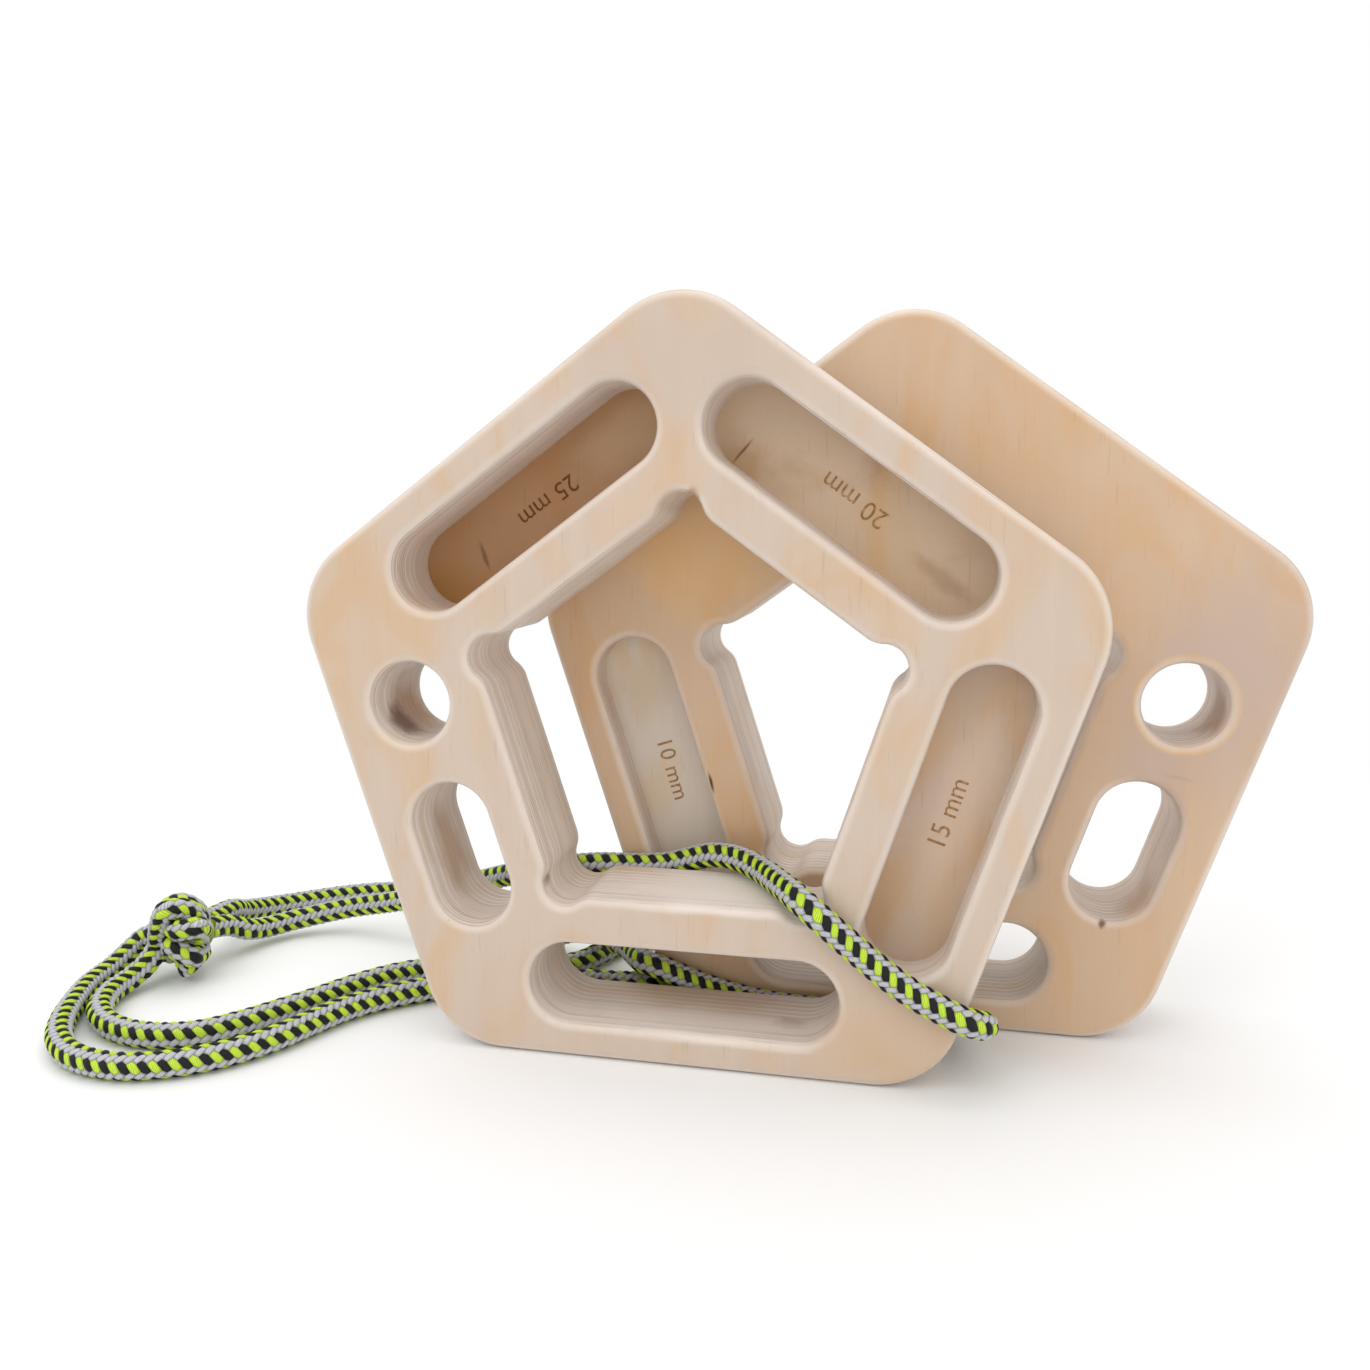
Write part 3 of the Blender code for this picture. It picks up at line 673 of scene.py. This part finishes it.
class Shell:
    """Gathers a board's surface ring by ring, with each vertex's own smooth normal."""

    def __init__(self):
        self.points, self.normals, self.faces, self.slots = [], [], [], []

    def ring(self, outline, height, normals):
        start = len(self.points)
        self.points += [(x, y, height) for x, y in outline]
        self.normals += [tuple(normal) for normal in normals]
        return range(start, len(self.points))

    def strip(self, upper, lower, hole, slot):
        """Joins two rings. The faces of a hole point inwards."""
        count = len(upper)
        for index in range(count):
            after = (index + 1) % count
            quad = (upper[index], lower[index], lower[after], upper[after])
            self.faces.append(quad[::-1] if hole else quad)
            self.slots.append(slot)

    def wall(self, shape, hole, top, bottom, roundover, floor, slot):
        """A wall with a roundover at the faces it meets. Returns its rings at the top and at the bottom."""
        flat, wide = np.array(shape(0.0)), np.array(shape(roundover))
        radial = (flat - wide) / roundover
        quarter = [math.pi / 2 * step / ROUNDOVER_STEPS for step in range(ROUNDOVER_STEPS + 1)]

        def rim(height, up):
            """Inset, height, angle and side of each ring of the roundover at a face, from the face on."""
            return [(roundover * (1 - math.sin(angle)), height - up * roundover * (1 - math.cos(angle)),
                     angle, up) for angle in quarter]

        high, low = top - roundover, bottom if floor else bottom + roundover
        levels = rim(top, 1)
        levels += [(0.0, high + share * (low - high), math.pi / 2, 1)
                   for share in np.linspace(0, 1, WALL_STEPS + 2)[1:-1]]
        levels += [(0.0, bottom, math.pi / 2, 1)] if floor else rim(bottom, -1)[::-1]
        rings = []
        for offset, height, angle, up in levels:
            outline = np.array(shape(offset))
            normals = [(*(math.sin(angle) * side), up * math.cos(angle)) for side in radial]
            rings.append(self.ring(outline, height, normals))
        for upper, lower in zip(rings, rings[1:]):
            self.strip(upper, lower, hole, slot)
        return rings[0], rings[-1]

    def floor(self, ring, slot):
        self.faces.append(tuple(ring))
        self.slots.append(slot)

    def face(self, rings, up):
        """The flat face between the rims: a filled 2D curve with holes, on the rims' own vertices."""
        curve = bpy.data.curves.new("face", "CURVE")
        curve.dimensions = "2D"
        curve.fill_mode = "FRONT"
        tree = KDTree(sum(len(ring) for ring in rings))
        for ring in rings:
            points = [(*self.points[index][:2], 0) for index in ring]
            polyline(curve, points).use_cyclic_u = True
            for point, index in zip(points, ring):
                tree.insert(point, index)
        tree.balance()
        mesh = baked(helper("face", curve))
        owners = [tree.find(vertex.co)[1] for vertex in mesh.vertices]
        for part in mesh.polygons:
            corners = [owners[index] for index in part.vertices]
            if (part.normal.z > 0) != up:
                corners.reverse()
            self.faces.append(tuple(corners))
            self.slots.append(WOOD)

    def mesh(self, name):
        mesh = bpy.data.meshes.new(name)
        mesh.from_pydata(self.points, [], self.faces)
        mesh.polygons.foreach_set("material_index", self.slots)
        mesh.shade_smooth()
        mesh.update()
        corners = []
        for part in mesh.polygons:
            flat = abs(part.normal.z) > 0.999
            for index in part.vertices:
                corners.append((0, 0, math.copysign(1, part.normal.z)) if flat else self.normals[index])
        mesh.normals_split_custom_set(corners)
        return mesh


def board_mesh(board):
    """The surface of both boards, flat in local XY with its front face at +Z."""
    half = board.thickness / 2
    shell = Shell()
    fronts, backs = [], []
    slot = partial(slot_outline, board)
    for shape, hole, material in (
        (partial(board_outline, board), False, WOOD),
        (partial(opening_outline, board), True, WOOD),
        (partial(slot, SIDE_BOTTOM, board.hold_centre, 0, board.hold_length), True, WOOD),
        (partial(slot, SIDE_LEFT, board.finger_centre, -board.mono_shift, board.hold_width), True, SCORCHED),
        (partial(slot, SIDE_LEFT, board.finger_centre, board.two_finger_shift, board.two_finger_length),
         True, WOOD),
    ):
        front, back = shell.wall(shape, hole, half, -half, board.roundover, False, material)
        fronts.append(front)
        backs.append(back)

    def pocket(owner, _, side, depth, material):
        """Cuts a pocket into the upper face of a shell and returns its rim."""
        shape = partial(slot, side, board.hold_centre, 0, board.hold_length)
        rim, bottom = owner.wall(shape, True, half, half - depth, board.roundover, True, WOOD)
        owner.floor(bottom, material)
        return rim

    fronts += [pocket(shell, *row) for row in FRONT_POCKETS]

    # The rear face's pocket is cut into a shell of its own, which is turned over
    rear = Shell()
    rim = pocket(rear, *REAR_POCKET)
    start = len(shell.points)
    shell.points += [(x, y, -z) for x, y, z in rear.points]
    shell.normals += [(x, y, -z) for x, y, z in rear.normals]
    shell.faces += [tuple(start + index for index in face[::-1]) for face in rear.faces]
    shell.slots += rear.slots
    backs.append(range(start + rim[0], start + rim[-1] + 1))
    shell.face(fronts, True)
    shell.face(backs, False)
    return shell.mesh("board")


def number_mesh(board, words, side, depth, rear):
    """A depth number as a thin layer on its pocket's floor, tops towards the board's centre."""
    text = bpy.data.curves.new("number", "FONT")
    text.body = words
    text.size = board.number_height
    text.align_x = text.align_y = "CENTER"
    text.extrude = board.number_depth / 2
    text.resolution_u = 6
    up = -Vector((*unit(side), 0))
    out = Vector((0, 0, -1 if rear else 1))
    height = board.thickness / 2 - depth + board.number_depth / 2
    where = Vector((*(board.hold_centre * unit(side)), out.z * height))
    made = helper("number", text)
    made.matrix_world = Matrix.Translation(where) @ Matrix((up.cross(out), up, out)).transposed().to_4x4()
    return baked(made)


def stand(mesh, turned):
    """Moves a flat board mesh to where its board stands."""
    turn = Euler((math.pi / 2, 0, math.pi if turned else 0)).to_matrix().to_4x4()
    mesh.transform(Matrix.Translation(board_place(turned)) @ turn)
    return mesh


class HANGBOARD_OT_boards(bpy.types.Operator):
    """Build the two plywood boards with their holds and rounded rims"""
    bl_idname = "hangboard.boards"
    bl_label = "Plywood boards"

    def execute(self, context):
        wood = context.scene.hangboard_wood
        group = plywood_group()
        marks = mark_group()
        flat = board_mesh(context.scene.hangboard_board)
        for body, turned in BOARDS:
            mesh = flat.copy()
            veneer = wood.tan if turned else wood.pale
            for name, tint, contrast, stain in WOOD_FINISHES:
                mesh.materials.append(wood_material(
                    body + "_" + name, group, marks, tint or veneer, turned, contrast, stain))
            piece = finished(stand(mesh, turned), body + "_plywood", body, body + "_board")
        return {"FINISHED"}


class HANGBOARD_OT_numbers(bpy.types.Operator):
    """Burn the depth numbers into the floors of the pockets"""
    bl_idname = "hangboard.numbers"
    bl_label = "Depth numbers"

    def execute(self, context):
        board = context.scene.hangboard_board
        wood = context.scene.hangboard_wood
        burnt = burnt_material("burnt_numbers", wood.burnt)
        deep = burnt_material("burnt_numbers_deep", wood.deep_burnt)
        for body, turned in BOARDS:
            for pocket in (*FRONT_POCKETS, REAR_POCKET):
                words, side, depth, floor = pocket
                mesh = number_mesh(board, words, side, depth, pocket is REAR_POCKET)
                mesh.materials.clear()
                mesh.materials.append(deep if floor == FLOOR_25 else burnt)
                finished(stand(mesh, turned), body + "_number_" + words[:2], body)
        return {"FINISHED"}


# ---- Cord ----

def smooth_route(route):
    """Dense points in metres on a centripetal spline through a route."""
    own = np.array([point if len(point) > 2 else (*point, CORD_LYING) for point in route]) * MM
    own = np.vstack((2 * own[0] - own[1], own, 2 * own[-1] - own[-2]))
    dense = []
    for index in range(1, len(own) - 2):
        near = own[index - 1:index + 3]
        steps = [math.sqrt(np.linalg.norm(after - point)) for point, after in zip(near, near[1:])]
        knots = np.cumsum([0, *steps])
        for part in np.linspace(knots[1], knots[2], ROUTE_STEPS, endpoint=False):
            row = near
            for spans in BLEND_SPANS:
                row = [start + (end - start) * (part - knots[low]) / (knots[high] - knots[low])
                       for start, end, (low, high) in zip(row, row[1:], spans)]
            dense.append(row[0])
    dense.append(own[-2])
    return np.array(dense)


def run_length(points):
    return float(np.linalg.norm(np.diff(points, axis=0), axis=1).sum())


def rows_across(given, column, period):
    """How many rows a column lies round the cord, and whether its row is a narrow grey one."""
    phase = column % period
    grey = phase.maths("GREATER_THAN", given["Wide"] - 0.5)
    part = grey.mix(phase / given["Wide"], (phase - given["Wide"]) / given["Narrow"] + 1.0, "FLOAT")
    return (column / period).maths("FLOOR") * 2.0 + part, grey


def braid_tree(yarns):
    """Turns a centre line into a braided cord: pillowed stitches in zigzag rows, coloured by row."""
    tree, given, result = group_tree("Braided cord", "GeometryNodeTree", {
        "Geometry": "Geometry", "Radius": "Float", "Stitch": "Float", "Rings": "Int", "Pairs": "Int",
        "Wide": "Int", "Narrow": "Int", "Bulge": "Float", "Slant": "Float", "Lock": "Float",
    }, {"Geometry": "Geometry"})

    def node(kind, inputs=None, which=0, **settings):
        return Signal(add(tree, "GeometryNode" + kind, inputs, **settings).outputs[which])

    def captured(geometry, **fields):
        """The geometry with fields kept on it, and the kept fields."""
        made = add(tree, "GeometryNodeCaptureAttribute", {"Geometry": geometry})
        for name, (kind, value) in fields.items():
            made.capture_items.new(kind, name)
            put(made.inputs[name], value)
        return [Signal(made.outputs[name]) for name in ("Geometry", *fields)]

    # A tube of rings along the line and columns round it
    line = node("ResampleCurve", {"Curve": given["Geometry"], "Count": given["Rings"]})
    line, heading, run = captured(
        node("SetCurveNormal", {"Curve": line}),
        heading=("VECTOR", node("InputTangent")),
        run=("FLOAT", node("SplineParameter", which="Length")),
    )
    period = given["Wide"] + given["Narrow"]
    around = given["Pairs"] * period
    inner = given["Radius"] - given["Bulge"]
    ring, column = captured(
        node("CurvePrimitiveCircle", {"Resolution": around, "Radius": inner}),
        column=("FLOAT", node("InputIndex")),
    )
    tube = node("CurveToMesh", {"Curve": line, "Profile Curve": ring, "Fill Caps": True})

    # Each stitch is a pillow, slanted back and forth from row to row and locked between its neighbours
    across, _ = rows_across(given, column, period)
    along = run / given["Stitch"]
    staggered = along + across.maths("FLOOR") % 2.0 * 0.5
    pillow = (abs(staggered.sine()) * abs(across.sine())) ** 0.6
    normal = node("InputNormal")
    out = normal.scaled(pillow * given["Bulge"])
    back = heading.scaled(across.maths("PINGPONG", 1.0) * given["Slant"])
    lock = (along * 2.0 + 0.5).sine() * (across + 0.5).sine()
    sideways = heading.vector("CROSS_PRODUCT", normal).scaled(lock * given["Lock"])
    offset = out.vector("ADD", back).vector("ADD", sideways)
    shown = node("SetPosition", {"Geometry": tube, "Offset": offset})
    for name, value in (("along", along), ("pillow", pillow)):
        inputs = {"Geometry": shown, "Name": name, "Value": value}
        shown = node("StoreNamedAttribute", inputs, data_type="FLOAT", domain="POINT")

    # The yarn of each face, from its column and its stitch
    index = node("InputIndex")
    column = index % around
    _, grey = rows_across(given, column, period)
    pair = (column / period).maths("FLOOR")
    stitch = ((index / around).maths("FLOOR") / STITCH_RINGS).maths("FLOOR")
    black = (1.0 - grey) * ((stitch + pair) % 2.0)
    shown = node("SetShadeSmooth", {0: shown})
    shown = node("RealizeInstances", {0: shown})
    for name, choice in (("lime", True), ("grey", grey), ("black", black)):
        inputs = {"Geometry": shown, "Selection": choice, "Material": yarns[name]}
        shown = node("SetMaterial", inputs)
    put(result["Geometry"], shown)
    return tree


def braided(name, points, tree, radius):
    """A braided mesh along the points, made by the Geometry Nodes tree and turned to plain mesh."""
    cord = bpy.context.scene.hangboard_cord
    curve = bpy.data.curves.new(name, "CURVE")
    curve.dimensions = "3D"
    polyline(curve, points)
    source = helper(name + "_line", curve)
    whole = run_length(points)
    stitches = round(whole / cord.stitch)
    values = {"Radius": radius, "Stitch": whole / stitches, "Rings": stitches * STITCH_RINGS + 1,
              "Pairs": cord.pairs, "Wide": WIDE_COLUMNS, "Narrow": NARROW_COLUMNS, "Bulge": BULGE * radius,
              "Slant": SLANT * cord.stitch, "Lock": LOCK * radius}
    weave = source.modifiers.new("braid", "NODES")
    weave.node_group = tree
    for item in tree.interface.items_tree:
        if item.in_out == "INPUT" and item.name in values:
            weave[item.identifier] = values[item.name]
    return baked(source)


def yarn_material(name, shade):
    """Twisted filaments across each stitch, with a little fuzz and sheen, and painted shade in the creases
    between stitches.
    """
    material, shader, spot = new_material(name)
    along, pillow = (spot.node("Attribute", {}, "Fac", attribute_name=name)
                     for name in ("along", "pillow"))
    fuzz = noise(spot, 1400.0)
    filament = (along * 12.0 + fuzz * 1.6).sine() * 0.5 + 0.5
    mixed = filament * 0.6 + fuzz * 0.4
    dark = rgba([0.70 * part for part in shade])
    light = rgba([min(1.0, 1.18 * part + 0.004) for part in shade])
    # Painted shade: the colour falls to half in the creases between the stitches' pillows
    yarn = mixed.ramp(0.15, 0.75).mix(dark, light).scaled(pillow.ramp(0.0, 0.55, 0.5, 1.0))
    fill(shader, {"Base Color": yarn, "Roughness": 0.6, "Specular IOR Level": 0.25})
    bump(shader, mixed, 0.5, 0.12 * MM)
    return material


def loose_overhand(scale, count):
    """An open overhand knot along X as evenly spaced points."""
    turn = np.linspace(-KNOT_TURN, KNOT_TURN, 600)
    line = (turn ** 3 - 3 * turn, 0.11 * (turn ** 5 - 10 * turn), turn ** 4 - 4 * turn ** 2)
    line = np.stack(line, 1) * scale
    run = np.concatenate(([0], np.cumsum(np.linalg.norm(np.diff(line, axis=0), axis=1))))
    marks = np.linspace(0, run[-1], count)
    return np.stack([np.interp(marks, run, line[:, axis]) for axis in range(3)], 1)


def hold_spacing(strand, spacing):
    """Moves neighbours in a strand to the given spacing, first the even pairs and then the odd ones."""
    for parity in (0, 1):
        low = np.arange(parity, len(strand) - 1, 2)
        apart = strand[low + 1] - strand[low]
        size = np.linalg.norm(apart, axis=1, keepdims=True)
        shift = 0.5 * apart * (1 - spacing / size)
        strand[low] += shift
        strand[low + 1] -= shift


def push_apart(points, first, second, gap):
    """Pushes the pairs of points that are nearer than the gap away from each other."""
    apart = points[second] - points[first]
    size = np.linalg.norm(apart, axis=1)
    near = (size < gap) & (size > 0)
    apart, size = apart[near], size[near][:, None]
    push = (gap - size) * 0.25 * apart / size
    np.add.at(points, first[near], -push)
    np.add.at(points, second[near], push)


def doubled_overhand():
    """Two cords tied side by side in one overhand knot and drawn tight along X, in millimetres."""
    line = loose_overhand(KNOT_OPEN * KNOT_GAP, KNOT_POINTS)
    spacing = np.linalg.norm(line[1] - line[0])
    heading = np.gradient(line, axis=0)
    beside = np.cross(heading, (0, 1, 0))
    beside *= 0.5 * KNOT_GAP / np.linalg.norm(beside, axis=1, keepdims=True)
    points = np.concatenate((line + beside, line - beside))
    strands = points[:KNOT_POINTS], points[KNOT_POINTS:]
    first, second = np.triu_indices(len(points), 1)
    apart = ((first < KNOT_POINTS) != (second < KNOT_POINTS)) | (second - first >= KNOT_NEIGHBOURS)
    first, second = first[apart], second[apart]
    for step in range(KNOT_STEPS):
        spacing = max(KNOT_SPACING, KNOT_SHRINK * spacing)
        for strand in strands:
            strand[1:-1] += KNOT_EASE * (strand[:-2] + strand[2:] - 2 * strand[1:-1])
            strand[0, 0] -= KNOT_PULL
            strand[-1, 0] += KNOT_PULL
        for _ in range(KNOT_ROUNDS):
            for strand in strands:
                hold_spacing(strand, spacing)
            push_apart(points, first, second, KNOT_GAP)
    return strands


def knot_routes():
    """The knot's two strands where it lies on the floor, in metres."""
    axis = Vector(KNOT_AXIS).normalized()
    side = (Vector(KNOT_VIEW) - axis * axis.dot(Vector(KNOT_VIEW))).normalized()
    frame = Matrix.Rotation(KNOT_ROLL, 3, axis) @ Matrix((axis, side, axis.cross(side))).transposed()
    strands = doubled_overhand()
    middle = np.concatenate(strands).mean(0) * (0, 1, 1)
    routes = []
    for strand in strands:
        strand = strand - middle
        kept = strand[(strand[:, 0] > KNOT_CUT[0]) & (strand[:, 0] < KNOT_CUT[1])]
        routes.append((kept @ np.array(frame).T + KNOT_PLACE) * MM)
    lift = KNOT_LIFT * KNOT_RADIUS * MM - min(route[:, 2].min() for route in routes)
    return [smooth_route((route + (0, 0, lift)) / MM) for route in routes]


def sunk(route, knot):
    """A route with both ends run on into the knot."""
    middle = np.concatenate(knot).mean(0) / MM
    first, last = (np.array(end) + KNOT_SINK * (middle - end) for end in (route[0], route[-1]))
    return [first, *route, last]


def joined(meshes):
    """One mesh of several."""
    builder = bmesh.new()
    for mesh in meshes:
        builder.from_mesh(mesh)
    builder.to_mesh(meshes[0])
    builder.free()
    return meshes[0]


class HANGBOARD_OT_cord(bpy.types.Operator):
    """Build the braided cord: the loop over the front board and the loop under the rear board"""
    bl_idname = "hangboard.cord"
    bl_label = "Braided cord"

    def execute(self, context):
        cord = context.scene.hangboard_cord
        names = ("black", "lime", "grey")
        yarns = {name: yarn_material(name + "_yarn", getattr(cord, name)) for name in names}
        tree = braid_tree(yarns)
        strands = knot_routes()

        knot = joined([braided("knot_strand", strand, tree, KNOT_RADIUS * MM) for strand in strands])
        knot = finished(knot, "cord_knot_braid", "front", "cord_knot")
        front = smooth_route(sunk(FRONT_LOOP_ROUTE, strands))
        mesh = braided("front_cord_braid", front, tree, cord.diameter / 2)
        piece = finished(mesh, "front_cord_braid", "front", "front_cord_loop")
        rear = smooth_route(sunk(REAR_LOOP_ROUTE, strands))
        piece = helper("rear_cord_braid", braided("rear_cord_braid", rear, tree, cord.diameter / 2))
        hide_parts("rear_cord_outer_strand", "rear_cord_inner_strand", "rear_cord_bight")
        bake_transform(piece)
        return {"FINISHED"}


# ---- Stage ----

def seen_rays(tree, *more):
    """1 for rays from the camera and in reflections, and 0 for the light."""
    path = add(tree, "ShaderNodeLightPath").outputs
    seen = Signal(path["Is Camera Ray"])
    for name in ("Is Glossy Ray", *more):
        seen = seen.maths("MAXIMUM", path[name])
    return seen


def floor_material(stage):
    """A pale floor that fades to the white background away from the object."""
    material, shader, spot = new_material("studio_floor")
    tree = material.node_tree
    fill(shader, {"Base Color": rgba(stage.floor), "Roughness": 0.9})
    away = spot.vector("LENGTH", which="Value").ramp(*FADE)
    glow = add(tree, "ShaderNodeEmission", {"Color": (1, 1, 1, 1), "Strength": 1.0}).outputs[0]
    faded = add(tree, "ShaderNodeMixShader", {0: seen_rays(tree) * away, 1: shader.outputs[0], 2: glow})
    put(tree.nodes["Material Output"].inputs["Surface"], faded.outputs[0])
    return material


class HANGBOARD_OT_stage(bpy.types.Operator):
    """Build the floor, the soft studio light, the white background and the camera"""
    bl_idname = "hangboard.stage"
    bl_label = "Studio stage"

    def execute(self, context):
        scene = context.scene
        stage = scene.hangboard_stage
        bpy.ops.mesh.primitive_plane_add(size=FLOOR_SIDE, location=(0, 0, -FLOOR_DROP))
        floor = context.object
        floor.name = "studio_floor"
        floor.data.materials.append(floor_material(stage))
        for name, (share, size, place) in LAMPS.items():
            light = bpy.data.lights.new(name, "AREA")
            light.energy = share * stage.key
            light.size = size
            made = helper(name, light)
            made.location = place
            made.rotation_euler = (Vector(place) - Vector(LAMP_AIM)).to_track_quat("Z", "Y").to_euler()
        scene.world = bpy.data.worlds.new("studio_world")
        scene.world.use_nodes = True
        tree = scene.world.node_tree
        tree.nodes.clear()
        strength = seen_rays(tree, "Is Transmission Ray").mix(AMBIENT, 1.0, "FLOAT")
        glow = add(tree, "ShaderNodeBackground", {"Color": (1, 1, 1, 1), "Strength": strength}).outputs[0]
        add(tree, "ShaderNodeOutputWorld", {"Surface": glow})
        lens = bpy.data.cameras.new("camera")
        lens.sensor_width = SENSOR_WIDTH
        lens.lens = SENSOR_WIDTH * FOCAL_LENGTH / IMAGE_SIDE
        lens.clip_start = 0.01
        camera = helper("camera", lens)
        camera.location = CAMERA_PLACE
        camera.rotation_euler = (math.pi / 2 - CAMERA_TILT, 0, CAMERA_TURN)
        scene.camera = camera
        scene.view_settings.view_transform = "Standard"
        return {"FINISHED"}


# ---- Add-on ----

class HANGBOARD_PT_panel(bpy.types.Panel):
    bl_idname = "HANGBOARD_PT_panel"
    bl_label = "Portable hangboard"
    bl_space_type = "VIEW_3D"
    bl_region_type = "UI"
    bl_category = "Hangboard"

    def draw(self, context):
        for operator in OPERATORS:
            self.layout.operator(operator.bl_idname)
        for name in SETTINGS:
            group = getattr(context.scene, name)
            box = self.layout.box()
            for key in group.__annotations__:
                box.prop(group, key)


OPERATORS = (HANGBOARD_OT_boards, HANGBOARD_OT_numbers, HANGBOARD_OT_cord, HANGBOARD_OT_stage)
SETTINGS = {
    "hangboard_board": HangboardBoardSettings,
    "hangboard_wood": HangboardWoodSettings,
    "hangboard_cord": HangboardCordSettings,
    "hangboard_stage": HangboardStageSettings,
}
CLASSES = (*SETTINGS.values(), *OPERATORS, HANGBOARD_PT_panel)


def register():
    for made in CLASSES:
        bpy.utils.register_class(made)
    for name, group in SETTINGS.items():
        setattr(bpy.types.Scene, name, PointerProperty(type=group))


def unregister():
    for name in SETTINGS:
        delattr(bpy.types.Scene, name)
    for made in reversed(CLASSES):
        bpy.utils.unregister_class(made)


def main():
    register()
    bpy.ops.hangboard.boards()
    bpy.ops.hangboard.numbers()
    bpy.ops.hangboard.cord()
    bpy.ops.hangboard.stage()


if __name__ == "__main__":
    main()
